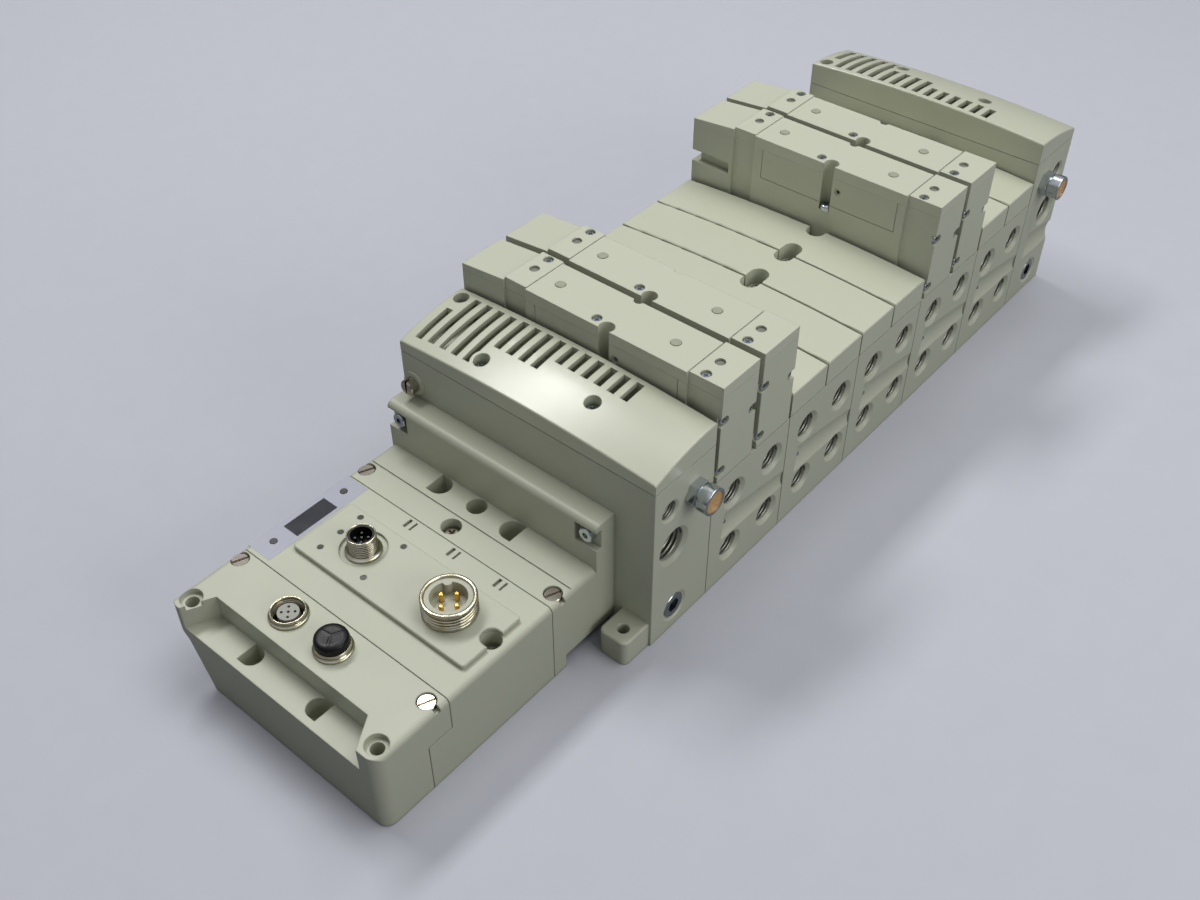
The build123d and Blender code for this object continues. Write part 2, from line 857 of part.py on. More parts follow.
with BuildPart() as pilot_screws:
    for station in valve_stations:
        for screw_x, screw_y in top_screw_places:
            with Locations((station_x(station) + screw_x, screw_y, small_seat_z)):
                add(small_screw)
        for screw_x, screw_z in face_screw_places:
            screw_place = (station_x(station) + screw_x, front_y + face_pocket_depth, screw_z)
            with Locations(Location(screw_place, (90, 0, 0))):
                add(small_screw)
save(pilot_screws.part, "pilot_screws")

# Fixing screws of the valves and blanking plates
with BuildPart() as station_screws:
    for station in range(station_count):
        seat_z = valve_seat_z if station in valve_stations else blank_seat_z
        fixing_length = seat_z - block_height + fixing_thread_depth - 1.0
        with Locations((station_x(station) + fixing_shift, fixing_y, seat_z)):
            add(cross_screw(fixing_head_radius, fixing_head_height, fixing_shank_radius, fixing_length))
save(station_screws.part, "station_screws")

# Tie rods, screwed into the left end plate, with their heads in the right one
with BuildPart() as tie_rods:
    rod_seat_x = stack_end + end_width - rod_head_sink
    rod_length = rod_seat_x - stack_start + rod_end_depth - 1.0
    rod = socket_screw(rod_head_radius, rod_head_height, rod_radius, rod_length, rod_key)
    with Locations(*[Location((rod_seat_x, rod_y, rod_z), (0, 90, 0)) for rod_y, rod_z in rod_places]):
        add(rod)
save(tie_rods.part, "tie_rods")

# End plates: the left one first, then its mirror image with the features that differ
plate_length = end_width - joint_gasket / 2
plate_middle_x = end_x(plate_length / 2)
supply_x = end_x(big_port[0])
boss_places = [(end_x(spot_x), spot_y) for spot_x, spot_y in cover_screw_spots]


def cover_height(distance, place_y):
    """Height of the arched cover over a point, counted from the outer face of its end plate."""
    share = distance / end_width
    rise = (end_cover_inner_z - end_cover_outer_z) * share + 4 * end_cover_bow * share * (1 - share)
    return end_cover_outer_z + rise + end_crown * (1 - (2 * place_y / island_depth) ** 2)


with BuildPart() as end_plate_base:
    with BuildSketch(Plane.XY):
        with Locations((plate_middle_x, 0)):
            Rectangle(plate_length, island_depth)
    extrude(amount=end_base_height)
    with BuildSketch(Plane.XY.offset(chamber_floor_z)):
        with Locations((plate_middle_x, (chamber_front_y + chamber_back_y) / 2)):
            RectangleRounded(
                plate_length - 2 * chamber_wall, chamber_back_y - chamber_front_y, chamber_corner
            )
        with Locations(*boss_places):
            Circle(cover_boss_radius, mode=Mode.SUBTRACT)
    extrude(amount=end_base_height - chamber_floor_z, mode=Mode.SUBTRACT)
    with BuildSketch(Plane.XY.offset(end_base_height)):
        with Locations(*boss_places):
            Circle(fixing_hole_radius)
    extrude(amount=-cover_screw_bite - 1.0, mode=Mode.SUBTRACT)
    with BuildSketch(Plane.YZ.offset(stack_start)):
        with Locations(*gallery_spots):
            Circle(gallery_radius)
    extrude(amount=-end_gallery_depth, mode=Mode.SUBTRACT)
    with BuildSketch(Plane.XY.offset(gallery_z)):
        with Locations((end_x(vent_riser_x), -gallery_spread), (end_x(vent_riser_x), gallery_spread)):
            Circle(vent_riser_radius)
    extrude(amount=chamber_floor_z - gallery_z, mode=Mode.SUBTRACT)
    with BuildSketch(Plane.XY.offset(gallery_z)):
        with Locations((supply_x, 0)):
            Circle(supply_radius)
    extrude(amount=big_port[1] - gallery_z, mode=Mode.SUBTRACT)
    with BuildSketch(port_face):
        with Locations((supply_x, big_port[1])):
            Circle(supply_radius)
    extrude(amount=front_y - supply_radius, mode=Mode.SUBTRACT)
    with BuildSketch(port_face):
        with Locations((end_x(small_port[0]), small_port[1])):
            Circle(small_passage_radius)
        with Locations((end_x(silencer_spot[0]), silencer_spot[1])):
            Circle(silencer_passage_radius)
    extrude(amount=front_y - chamber_front_y - 2.0, mode=Mode.SUBTRACT)
    with BuildSketch(port_face):
        with Locations((end_x(silencer_spot[0]), silencer_spot[1])):
            Circle(silencer_thread_radius + silencer_thread_fit)
    extrude(amount=-silencer_thread_length - 1.0, mode=Mode.SUBTRACT)
    with Locations(port_face.location):
        with Locations((end_x(small_port[0]), small_port[1])):
            CounterSinkHole(small_port_radius, small_port_rim, depth=small_port_depth, counter_sink_angle=90)
        with Locations((supply_x, big_port[1])):
            CounterSinkHole(big_port_radius, big_port_rim, depth=big_port_depth, counter_sink_angle=90)
        with Locations((end_x(plug_spot[0]), plug_spot[1])):
            CounterSinkHole(plug_radius, plug_rim, depth=plug_length + 3.0, counter_sink_angle=90)

with BuildPart() as foot:
    with BuildSketch(Plane.XY):
        with Locations((end_x(-foot_length / 2 + foot_corner), front_y + foot_inset + foot_width / 2)):
            RectangleRounded(foot_length + 2 * foot_corner, foot_width, foot_corner)
    extrude(amount=foot_height)
    fillet(foot.edges().group_by(Axis.Z)[-1], 1.0)

foot_hole = (end_x(-foot_hole_x), front_y + foot_hole_y)
socket_bite = socket_shank_length - (adapter_end - module_x(step_x) - step_notch_depth)
socket_screw_spots = [
    (module_front_y + socket_screw_inset, socket_screw_z),
    (module_back_y - socket_screw_inset, socket_screw_z),
]

with BuildPart() as left_end_plate:
    add(end_plate_base.part)
    add(foot.part)
    with BuildSketch(Plane.XY):
        with Locations(foot_hole):
            Circle(foot_hole_radius)
    extrude(amount=foot_height, mode=Mode.SUBTRACT)
    with BuildSketch(Plane.YZ.offset(stack_start)):
        with Locations(*rod_places):
            Circle(rod_hole_radius)
    extrude(amount=-rod_end_depth, mode=Mode.SUBTRACT)
    with BuildSketch(Plane.YZ.offset(adapter_end)):
        with Locations((earth_y, earth_z)):
            Circle(earth_boss_radius)
    extrude(amount=-earth_boss_rise)
    with BuildSketch(Plane.YZ.offset(adapter_end - earth_boss_rise)):
        with Locations((earth_y, earth_z)):
            Circle(slotted_shank_radius + slotted_shank_fit)
    extrude(amount=slotted_shank_length + 1.0, mode=Mode.SUBTRACT)
    with BuildSketch(Plane.YZ.offset(adapter_end)):
        with Locations(*socket_screw_spots):
            Circle(socket_shank_radius + socket_shank_fit)
    extrude(amount=socket_bite + 1.0, mode=Mode.SUBTRACT)
save(left_end_plate.part, "left_end_plate")

with BuildPart() as right_end_plate:
    add(mirror(end_plate_base.part, about=Plane.YZ, mode=Mode.PRIVATE))
    add(foot.part.rotate(Axis.Z, 180))
    with BuildSketch(Plane.XY):
        with Locations((-foot_hole[0], -foot_hole[1])):
            Circle(foot_hole_radius)
    extrude(amount=foot_height, mode=Mode.SUBTRACT)
    with BuildSketch(Plane.YZ.offset(stack_end)):
        with Locations(*rod_places):
            Circle(rod_hole_radius)
    extrude(amount=end_width, mode=Mode.SUBTRACT)
    with BuildSketch(Plane.YZ.offset(stack_end + end_width)):
        with Locations(*rod_places):
            Circle(rod_head_radius + 0.4)
    extrude(amount=-rod_head_sink, mode=Mode.SUBTRACT)
    with Locations((stack_end, front_y, 0)):
        add(recess_shape, mode=Mode.SUBTRACT)
save(right_end_plate.part, "right_end_plate")

# Arched covers with fifteen air slots, moulded with a wall of even thickness
arch_angle = 10.0
arch_top_z = cover_height(end_width / 2, 0)
arch_centre_z = arch_top_z - crown_radius(end_crown)
arch_axis = Axis((0, 0, arch_centre_z), (1, 0, 0))

with BuildPart() as cover_arch:
    with BuildSketch(Plane.XZ):
        with BuildLine():
            outer_top = (adapter_end, cover_height(0, 0))
            middle_top = (end_x(end_width / 2), arch_top_z)
            inner_top = (stack_start, cover_height(end_width, 0))
            ThreePointArc(outer_top, middle_top, inner_top)
            Polyline(inner_top, (stack_start, chamber_floor_z), (adapter_end, chamber_floor_z), outer_top)
        make_face()
    revolve(axis=arch_axis, revolution_arc=arch_angle)
cover_bulk = cover_arch.part.rotate(arch_axis, -arch_angle / 2)

with BuildPart() as cover_hollow:
    add(cover_bulk.moved(Location((0, 0, -cover_wall))))
    with BuildSketch(Plane.XY.offset(end_base_height)):
        with Locations((plate_middle_x, 0)):
            Rectangle(plate_length - 2 * cover_wall, island_depth - 2 * cover_wall)
        with Locations(*boss_places):
            Circle(cover_boss_radius, mode=Mode.SUBTRACT)
    extrude(amount=end_base_height, mode=Mode.INTERSECT)

with BuildPart() as cover_vents:
    with BuildSketch(Plane.XY.offset(end_base_height)):
        for vent in range(vent_count):
            group = max(first for first in vent_ends if first <= vent)
            vent_start, vent_end = vent_ends[group]
            with Locations((end_x((vent_start + vent_end) / 2), first_slot_y - slot_pitch * vent)):
                Rectangle(vent_end - vent_start, vent_width)
        with Locations(*boss_places):
            Circle(cover_boss_radius, mode=Mode.SUBTRACT)
    extrude(amount=end_base_height)

with BuildPart() as end_cover:
    add(cover_bulk)
    with BuildSketch(Plane.XY.offset(end_base_height)):
        with Locations((plate_middle_x, 0)):
            Rectangle(plate_length, island_depth)
    extrude(amount=end_base_height, mode=Mode.INTERSECT)
    fillet(end_cover.faces().sort_by(Axis.Z)[-1].edges(), 0.8)
    chamfer(end_cover.faces().sort_by(Axis.Z)[0].edges(), 0.4)
    add(cover_hollow.part, mode=Mode.SUBTRACT)
    add(cover_vents.part, mode=Mode.SUBTRACT)
    for spot_x, spot_y in cover_screw_spots:
        screw_seat_z = cover_height(spot_x, spot_y) - cover_screw_depth - fixing_head_height
        with BuildSketch(Plane.XY.offset(screw_seat_z)):
            with Locations((end_x(spot_x), spot_y)):
                Circle(cover_hole_radius)
        extrude(amount=end_base_height, mode=Mode.SUBTRACT)
        with BuildSketch(Plane.XY.offset(screw_seat_z)):
            with Locations((end_x(spot_x), spot_y)):
                Circle(fixing_hole_radius)
        extrude(amount=end_base_height - screw_seat_z, mode=Mode.SUBTRACT)
save(end_cover.part, "left_end_cover")

with BuildPart() as right_end_cover:
    add(mirror(end_cover.part, about=Plane.YZ, mode=Mode.PRIVATE))
save(right_end_cover.part, "right_end_cover")

with BuildPart() as cover_screws:
    for spot_x, spot_y in cover_screw_spots:
        screw_seat_z = cover_height(spot_x, spot_y) - cover_screw_depth - fixing_head_height
        screw_length = screw_seat_z - end_base_height + cover_screw_bite
        with Locations((end_x(spot_x), spot_y, screw_seat_z), (-end_x(spot_x), spot_y, screw_seat_z)):
            add(cross_screw(fixing_head_radius, fixing_head_height, fixing_shank_radius, screw_length))
save(cover_screws.part, "cover_screws")

# Silencers: a plated brass body with a disc of sintered bronze
with BuildPart() as silencer:
    with BuildSketch(Plane.XY):
        RegularPolygon(radius=silencer_hex / 2, side_count=6, major_radius=False)
    extrude(amount=silencer_hex_length)
    chamfer(silencer.faces().sort_by(Axis.Z)[-1].edges(), 0.3)
    with BuildSketch(Plane.XY.offset(silencer_hex_length)):
        Circle(silencer_neck_radius)
    extrude(amount=silencer_neck_length)
    cup_start = silencer_hex_length + silencer_neck_length
    with BuildSketch(Plane.XY.offset(cup_start)):
        Circle(silencer_cup_radius)
    extrude(amount=silencer_cup_length)
    fillet(silencer.edges().group_by(Axis.Z)[-1], 0.4)
    with BuildSketch(Plane.XY):
        Circle(silencer_thread_radius)
    extrude(amount=-silencer_thread_length)
    disc_floor = cup_start + silencer_cup_length - silencer_disc_sink - silencer_disc_depth
    with BuildSketch(Plane.XY.offset(disc_floor)):
        Circle(silencer_disc_radius)
    extrude(amount=silencer_cup_length, mode=Mode.SUBTRACT)
    with BuildSketch(Plane.XY.offset(disc_floor)):
        Circle(silencer_passage_radius)
    extrude(amount=-disc_floor - silencer_thread_length, mode=Mode.SUBTRACT)

with BuildPart() as silencer_disc:
    with BuildSketch(Plane.XY.offset(disc_floor)):
        Circle(silencer_disc_radius - silencer_disc_fit)
    extrude(amount=silencer_disc_depth)

silencer_places = [
    Location((side * end_x(silencer_spot[0]), front_y, silencer_spot[1]), (90, 0, 0)) for side in (1, -1)
]
with BuildPart() as silencer_bodies:
    with Locations(*silencer_places):
        add(silencer.part)
save(silencer_bodies.part, "silencer_bodies")

with BuildPart() as silencer_elements:
    with Locations(*silencer_places):
        add(silencer_disc.part)
save(silencer_elements.part, "silencer_elements")

# Screwed plugs with a hexagon socket in the lowest port of each end plate
with BuildPart() as port_plug:
    with BuildSketch(Plane.XY.offset(-plug_sink)):
        Circle(plug_radius - plug_fit)
    extrude(amount=-plug_length)
    chamfer(port_plug.edges().sort_by(Axis.Z)[-1], 0.4)
    with BuildSketch(Plane.XY.offset(-plug_sink)):
        RegularPolygon(radius=plug_key / 2, side_count=6, major_radius=False)
    extrude(amount=-plug_length * 0.5, mode=Mode.SUBTRACT)

plug_places = [Location((side * end_x(plug_spot[0]), front_y, plug_spot[1]), (90, 0, 0)) for side in (1, -1)]
with BuildPart() as port_plugs:
    with Locations(*plug_places):
        add(port_plug.part)
save(port_plugs.part, "port_plugs")


# Outline of the electronics modules across the row, undercut towards the back
def module_profile():
    with BuildSketch() as profile:
        with BuildLine():
            Polyline(
                (module_front_y, 0),
                (module_foot_y, 0),
                (module_skirt_y, module_skirt_z),
                (module_lip_y, module_lip_z),
                (module_back_y, module_top_z),
                (module_front_y, module_top_z),
                close=True,
            )
        make_face()
        fillet(profile.vertices().group_by(Axis.Y)[-1], module_edge)
    return profile.sketch


# Outline of a pocket that is round on one side and square on the other
def pocket_plan(radius, flat, side):
    with BuildSketch() as outline:
        Circle(radius)
        with Locations((0, side * flat / 2)):
            Rectangle(2 * radius, flat)
        with Locations((0, side * (flat + radius / 2))):
            Rectangle(2 * radius, radius, mode=Mode.SUBTRACT)
    return outline.sketch


slotted_seat_z = module_top_z - slotted_sink - slotted_head_height
slotted_spots = [(module_x(place_x), place_y) for place_x, place_y in slotted_places]
plate_top_z = module_top_z + plate_rise
ring_floor_z = plate_top_z - ring_depth
data_place = (module_x(data_x), data_y)
power_place = (module_x(power_x), power_y)
socket_places = [(module_x(socket_x), socket_y), (module_x(capped_x), capped_y)]
depth_middle_y = (module_front_y + module_back_y) / 2
module_depth = module_back_y - module_front_y


def channel_places():
    """Short channels from the screw pockets to the nearest edge of the modules."""
    for place_x, place_y in slotted_spots:
        edge_y = module_front_y if place_y < 0 else module_back_y
        yield place_x, (place_y + edge_y) / 2


# End module, moulded, with a ledge and two corner posts along its outer end
with BuildPart() as end_module_housing:
    with BuildSketch(Plane.YZ.offset(end_module_start)):
        add(module_profile())
    extrude(amount=end_module_length - module_gap)
    with BuildSketch(Plane.XY):
        with Locations((module_x(end_module_length), depth_middle_y)):
            RectangleRounded(2 * end_module_length, module_depth, plan_corner)
    extrude(amount=module_top_z, mode=Mode.INTERSECT)
    with BuildSketch(Plane.XY.offset(ledge_z)):
        with BuildLine():
            Polyline(
                (module_x(-1.0), module_front_y + front_post[0]),
                (module_x(0), module_front_y + front_post[0]),
                (module_x(ledge_depth), module_front_y + front_post[1]),
                (module_x(ledge_depth), module_back_y - back_post[1]),
                (module_x(0), module_back_y - back_post[0]),
                (module_x(-1.0), module_back_y - back_post[0]),
                close=True,
            )
        make_face()
    extrude(amount=module_top_z - ledge_z, mode=Mode.SUBTRACT)
    with BuildSketch(Plane.XY):
        with Locations((comm_start - comm_toe_length / 2, depth_middle_y)):
            Rectangle(comm_toe_length, module_depth + 2.0)
    extrude(amount=comm_toe_z, mode=Mode.SUBTRACT)
    for pocket_y, pocket_side in pocket_spots:
        with BuildSketch(Plane.XY.offset(pocket_floor_z)):
            with Locations((module_x(pocket_x), pocket_y)):
                add(pocket_plan(pocket_radius, pocket_flat, pocket_side))
        extrude(amount=ledge_z - pocket_floor_z, mode=Mode.SUBTRACT)
        with BuildSketch(Plane.XY):
            with Locations((module_x(pocket_x), pocket_y)):
                Circle(pocket_hole_radius)
        extrude(amount=pocket_floor_z, mode=Mode.SUBTRACT)
    for hole_y in (module_front_y + corner_hole_inset, module_back_y - corner_hole_inset):
        with Locations((module_x(corner_hole_x), hole_y, module_top_z)):
            CounterBoreHole(corner_hole_radius, corner_bore_radius, corner_bore_depth, depth=module_top_z)
    with BuildSketch(Plane.XY.offset(connector_foot_z)):
        with Locations(*socket_places):
            Circle(socket_rim_radius + connector_fit)
    extrude(amount=module_top_z - connector_foot_z, mode=Mode.SUBTRACT)
    with BuildSketch(Plane.XY.offset(comm_toe_z + shell_floor)):
        with Locations(
            (module_x((ledge_depth + end_module_length) / 2), (cavity_front_y + cavity_back_y) / 2)
        ):
            Rectangle(end_module_length - ledge_depth - 2 * shell_wall, cavity_back_y - cavity_front_y)
    extrude(amount=roof_z - comm_toe_z - shell_floor, mode=Mode.SUBTRACT)
    with BuildSketch(Plane.XY.offset(slotted_seat_z)):
        with Locations(*slotted_spots[:2]):
            Circle(slotted_head_radius + slotted_bore_fit)
        with Locations(*list(channel_places())[:2]):
            Rectangle(slotted_channel, corner_hole_inset)
    extrude(amount=module_top_z - slotted_seat_z, mode=Mode.SUBTRACT)
    with BuildSketch(Plane.XY.offset(slotted_seat_z)):
        with Locations(*slotted_spots[:2]):
            Circle(slotted_shank_radius + slotted_shank_fit)
    extrude(amount=-slotted_shank_length - 1.0, mode=Mode.SUBTRACT)
save(end_module_housing.part, "end_module_housing")

# Nickel plated shells of the two round output sockets
with BuildPart() as socket_shells:
    with BuildSketch(Plane.XY.offset(connector_foot_z)):
        with Locations(*socket_places):
            Circle(socket_rim_radius)
    extrude(amount=module_top_z + socket_height - connector_foot_z)
    with BuildSketch(Plane.XY.offset(module_top_z)):
        with Locations(*socket_places):
            Circle(m12_flange_radius)
    extrude(amount=m12_flange)
    with BuildSketch(Plane.XY.offset(connector_bore_z)):
        with Locations(*socket_places):
            Circle(socket_bore_radius)
    extrude(amount=module_top_z + socket_height - connector_bore_z, mode=Mode.SUBTRACT)
save(socket_shells.part, "socket_shells")

# Plastic contact carriers in the sockets, five holes each
socket_insert_z = module_top_z + socket_height - socket_insert_sink

with BuildPart() as socket_inserts:
    with BuildSketch(Plane.XY.offset(connector_bore_z)):
        with Locations(*socket_places):
            Circle(socket_insert_radius)
    extrude(amount=socket_insert_z - connector_bore_z)
    for insert_place in socket_places:
        with BuildSketch(Plane.XY.offset(socket_insert_z)):
            with Locations(insert_place):
                Circle(socket_hole_radius)
                with PolarLocations(contact_circle, 4, start_angle=45):
                    Circle(socket_hole_radius)
        extrude(amount=-socket_hole_depth, mode=Mode.SUBTRACT)
save(socket_inserts.part, "socket_inserts")

# Dust cap, screwed into the second socket
with BuildPart() as dust_cap:
    cap_low_z = module_top_z + socket_height + cap_lift
    with BuildSketch(Plane.XY.offset(cap_low_z)):
        Circle(cap_radius)
    extrude(amount=cap_top_z - cap_low_z)
    fillet(dust_cap.edges().sort_by(Axis.Z)[-1], cap_edge)
    with BuildSketch(Plane.XY.offset(cap_low_z)):
        Circle(socket_bore_radius - cap_thread_clearance)
        Circle(socket_bore_radius - cap_thread_clearance - cap_stem_wall, mode=Mode.SUBTRACT)
    extrude(amount=-cap_stem_length)
with BuildPart() as placed_cap:
    with Locations((*socket_places[1], 0)):
        add(dust_cap.part)
save(placed_cap.part, "dust_cap")

# Communication module, moulded, with a toe under the end module
with BuildPart() as comm_module_housing:
    with BuildSketch(Plane.YZ.offset(comm_start)):
        add(module_profile())
    extrude(amount=comm_length - module_gap)
    with BuildSketch(Plane.YZ.offset(comm_start - comm_toe_length + module_gap)):
        add(module_profile())
    extrude(amount=comm_toe_length)
    with BuildSketch(Plane.XY.offset(comm_toe_z - module_gap)):
        with Locations((comm_start - comm_toe_length / 2, depth_middle_y)):
            Rectangle(comm_toe_length, module_depth + 2.0)
    extrude(amount=module_top_z, mode=Mode.SUBTRACT)
    comm_middle_x = comm_start + comm_length / 2
    comm_cavity_length = comm_length - 2 * shell_wall
    with BuildSketch(Plane.XY.offset(shell_floor)):
        with Locations((comm_middle_x, (cavity_front_y + cavity_back_y) / 2)):
            Rectangle(comm_cavity_length, cavity_back_y - cavity_front_y)
    extrude(amount=roof_z - shell_floor, mode=Mode.SUBTRACT)
    with BuildSketch(Plane.XY.offset(shelf_z)):
        with Locations((comm_middle_x, (cavity_front_y + shelf_back_y) / 2)):
            Rectangle(comm_cavity_length, shelf_back_y - cavity_front_y)
    extrude(amount=roof_z - shelf_z, mode=Mode.SUBTRACT)
    with BuildSketch(Plane.XY.offset(shell_floor)):
        with Locations((comm_middle_x, (cavity_front_y + cavity_back_y) / 2)):
            with GridLocations(
                comm_cavity_length - 2 * board_post_radius,
                cavity_back_y - cavity_front_y - 2 * board_post_radius,
                2,
                2,
            ):
                Circle(board_post_radius)
    extrude(amount=board_post)
    with BuildSketch(Plane.XY.offset(connector_foot_z)):
        with Locations(data_place):
            Circle(m12_radius + connector_fit)
        with Locations(power_place):
            Circle(power_neck_radius + connector_fit)
    extrude(amount=module_top_z - connector_foot_z, mode=Mode.SUBTRACT)
    with BuildSketch(Plane.XY.offset(plate_pocket_z)):
        with Locations((module_x(plate_notch_x), plate_notch_y)):
            Circle(plate_notch_radius)
    extrude(amount=module_top_z - plate_pocket_z, mode=Mode.SUBTRACT)
    with BuildSketch(Plane.XY.offset(plate_pocket_z)):
        with Locations((module_x(plate_notch_x), plate_notch_y)):
            Circle(slotted_shank_radius + slotted_shank_fit)
    extrude(amount=-slotted_shank_length - 1.0, mode=Mode.SUBTRACT)
    with BuildSketch(Plane.XY.offset(module_top_z)):
        with Locations((module_x((label_start + label_end) / 2), (label_front_y + label_back_y) / 2)):
            Rectangle(label_end - label_start, label_back_y - label_front_y)
    extrude(amount=-label_thickness, mode=Mode.SUBTRACT)
    with BuildSketch(Plane.XY.offset(module_top_z)):
        with Locations((module_x((window_start + window_end) / 2), (window_front_y + window_back_y) / 2)):
            Rectangle(window_end - window_start, window_back_y - window_front_y)
    extrude(amount=-window_thickness - window_sink, mode=Mode.SUBTRACT)
    with BuildSketch(Plane.XY.offset(module_top_z)):
        with Locations((module_x(set_key_x), key_y), (module_x(next_key_x), key_y)):
            Circle(key_radius + key_clearance)
    extrude(amount=roof_z - module_top_z, mode=Mode.SUBTRACT)
    with BuildSketch(Plane.XY.offset(plate_top_z)):
        with Locations(*[(module_x(lamp_x), lamp_y) for lamp_x, lamp_y in lamp_spots]):
            Circle(lamp_radius + connector_fit)
    extrude(amount=-lamp_depth, mode=Mode.SUBTRACT)
    with BuildSketch(Plane.XY.offset(module_top_z)):
        for bar_y in bar_spots:
            for bar_side, bar_width in zip((1, -1), bar_widths):
                with Locations((module_x(bar_x), bar_y + bar_side * bar_spacing / 2)):
                    Rectangle(bar_length, bar_width)
    extrude(amount=-bar_depth, mode=Mode.SUBTRACT)
save(comm_module_housing.part, "comm_module_housing")

# Raised plate that carries the connectors
with BuildPart() as connector_plate:
    with BuildSketch(Plane.XY.offset(module_top_z)):
        with Locations((module_x((plate_start + plate_end) / 2), (plate_front_y + plate_back_y) / 2)):
            RectangleRounded(plate_end - plate_start, plate_back_y - plate_front_y, plate_corner)
        with Locations((module_x(plate_notch_x), plate_notch_y)):
            Circle(plate_notch_radius, mode=Mode.SUBTRACT)
        with Locations((module_x(plate_notch_x), (plate_notch_y + plate_front_y) / 2 - 2.0)):
            Rectangle(2 * plate_notch_radius, plate_notch_y - plate_front_y + 4.0, mode=Mode.SUBTRACT)
    extrude(amount=plate_rise)
    chamfer(connector_plate.faces().sort_by(Axis.Z)[-1].outer_wire().edges(), 0.4)
    with BuildSketch(Plane.XY.offset(ring_floor_z)):
        with Locations(data_place):
            Circle(ring_radius)
    extrude(amount=ring_depth, mode=Mode.SUBTRACT)
    with BuildSketch(Plane.XY.offset(module_top_z)):
        with Locations(data_place):
            Circle(m12_radius + connector_fit)
        with Locations(power_place):
            Circle(power_neck_radius + connector_fit)
        with Locations(*[(module_x(lamp_x), lamp_y) for lamp_x, lamp_y in lamp_spots]):
            Circle(lamp_radius + connector_fit)
    extrude(amount=plate_rise, mode=Mode.SUBTRACT)
save(connector_plate.part, "connector_plate")

# Round indicator lights
with BuildPart() as indicator_lights:
    with BuildSketch(Plane.XY.offset(plate_top_z - lamp_depth)):
        with Locations(*[(module_x(lamp_x), lamp_y) for lamp_x, lamp_y in lamp_spots]):
            Circle(lamp_radius)
    extrude(amount=lamp_depth)
save(indicator_lights.part, "indicator_lights")

# Printed film round the display
with BuildPart() as display_label:
    with BuildSketch(Plane.XY.offset(module_top_z - label_thickness)):
        with Locations((module_x((label_start + label_end) / 2), (label_front_y + label_back_y) / 2)):
            Rectangle(label_end - label_start, label_back_y - label_front_y)
        with Locations((module_x((window_start + window_end) / 2), (window_front_y + window_back_y) / 2)):
            Rectangle(window_end - window_start, window_back_y - window_front_y, mode=Mode.SUBTRACT)
        with Locations((module_x(set_key_x), key_y), (module_x(next_key_x), key_y)):
            Circle(key_radius + key_clearance, mode=Mode.SUBTRACT)
    extrude(amount=label_thickness)
save(display_label.part, "display_label")

# Dark display window
with BuildPart() as display_window:
    with BuildSketch(Plane.XY.offset(module_top_z - window_sink)):
        with Locations((module_x((window_start + window_end) / 2), (window_front_y + window_back_y) / 2)):
            Rectangle(window_end - window_start, window_back_y - window_front_y)
    extrude(amount=-window_thickness)
save(display_window.part, "display_window")

# The two keys beside the display, each held by a flange under the roof of the module
for key_label, key_x in (("set_button", set_key_x), ("next_button", next_key_x)):
    with BuildPart() as display_key:
        flange_low_z = roof_z - key_play - key_flange_height
        with BuildSketch(Plane.XY.offset(flange_low_z - key_tail)):
            with Locations((module_x(key_x), key_y)):
                Circle(key_radius)
        extrude(amount=module_top_z + key_rise - flange_low_z + key_tail)
        fillet(display_key.edges().sort_by(Axis.Z)[-1], 0.15)
        with BuildSketch(Plane.XY.offset(flange_low_z)):
            with Locations((module_x(key_x), key_y)):
                Circle(key_flange_radius)
        extrude(amount=key_flange_height)
    save(display_key.part, key_label)

# Data connector: plated shell, black carrier and contact pins
data_top_z = ring_floor_z + data_height
data_floor_z = ring_floor_z + data_floor_height

with BuildPart() as data_connector_shell:
    with BuildSketch(Plane.XY.offset(connector_foot_z)):
        with Locations(data_place):
            Circle(m12_radius)
    extrude(amount=data_top_z - connector_foot_z)
    with BuildSketch(Plane.XY.offset(ring_floor_z)):
        with Locations(data_place):
            Circle(data_flange_radius)
    extrude(amount=m12_flange)
    with BuildSketch(Plane.XY.offset(connector_bore_z)):
        with Locations(data_place):
            Circle(m12_bore_radius)
    extrude(amount=data_top_z - connector_bore_z, mode=Mode.SUBTRACT)
save(data_connector_shell.part, "data_connector_shell")

with BuildPart() as data_connector_insert:
    with BuildSketch(Plane.XY.offset(connector_bore_z)):
        with Locations(data_place):
            Circle(m12_bore_radius - insert_fit)
    extrude(amount=data_top_z - data_insert_sink - connector_bore_z)
    with BuildSketch(Plane.XY.offset(data_floor_z)):
        with Locations(data_place):
            Circle(m12_bore_radius - insert_fit - data_wall)
    extrude(amount=data_top_z - data_floor_z, mode=Mode.SUBTRACT)
    with BuildSketch(Plane.XY.offset(data_floor_z)):
        with Locations(data_place):
            Circle(contact_radius + insert_fit)
            with PolarLocations(contact_circle, 4, start_angle=45):
                Circle(contact_radius + insert_fit)
    extrude(amount=connector_bore_z + 1.0 - data_floor_z, mode=Mode.SUBTRACT)
save(data_connector_insert.part, "data_connector_insert")

# Power connector: plated shell and pale keyed carrier
power_top_z = plate_top_z + power_height
power_floor_z = plate_top_z + power_floor_height

with BuildPart() as power_connector_shell:
    with BuildSketch(Plane.XY.offset(connector_foot_z)):
        with Locations(power_place):
            Circle(power_neck_radius)
    extrude(amount=plate_top_z - connector_foot_z)
    with BuildSketch(Plane.XY.offset(plate_top_z)):
        with Locations(power_place):
            Circle(power_radius)
    extrude(amount=power_top_z - plate_top_z)
    chamfer(power_connector_shell.edges().sort_by(Axis.Z)[-1], 0.5)
    with BuildSketch(Plane.XY.offset(connector_bore_z)):
        with Locations(power_place):
            Circle(power_bore_radius)
    extrude(amount=power_top_z - connector_bore_z, mode=Mode.SUBTRACT)
save(power_connector_shell.part, "power_connector_shell")

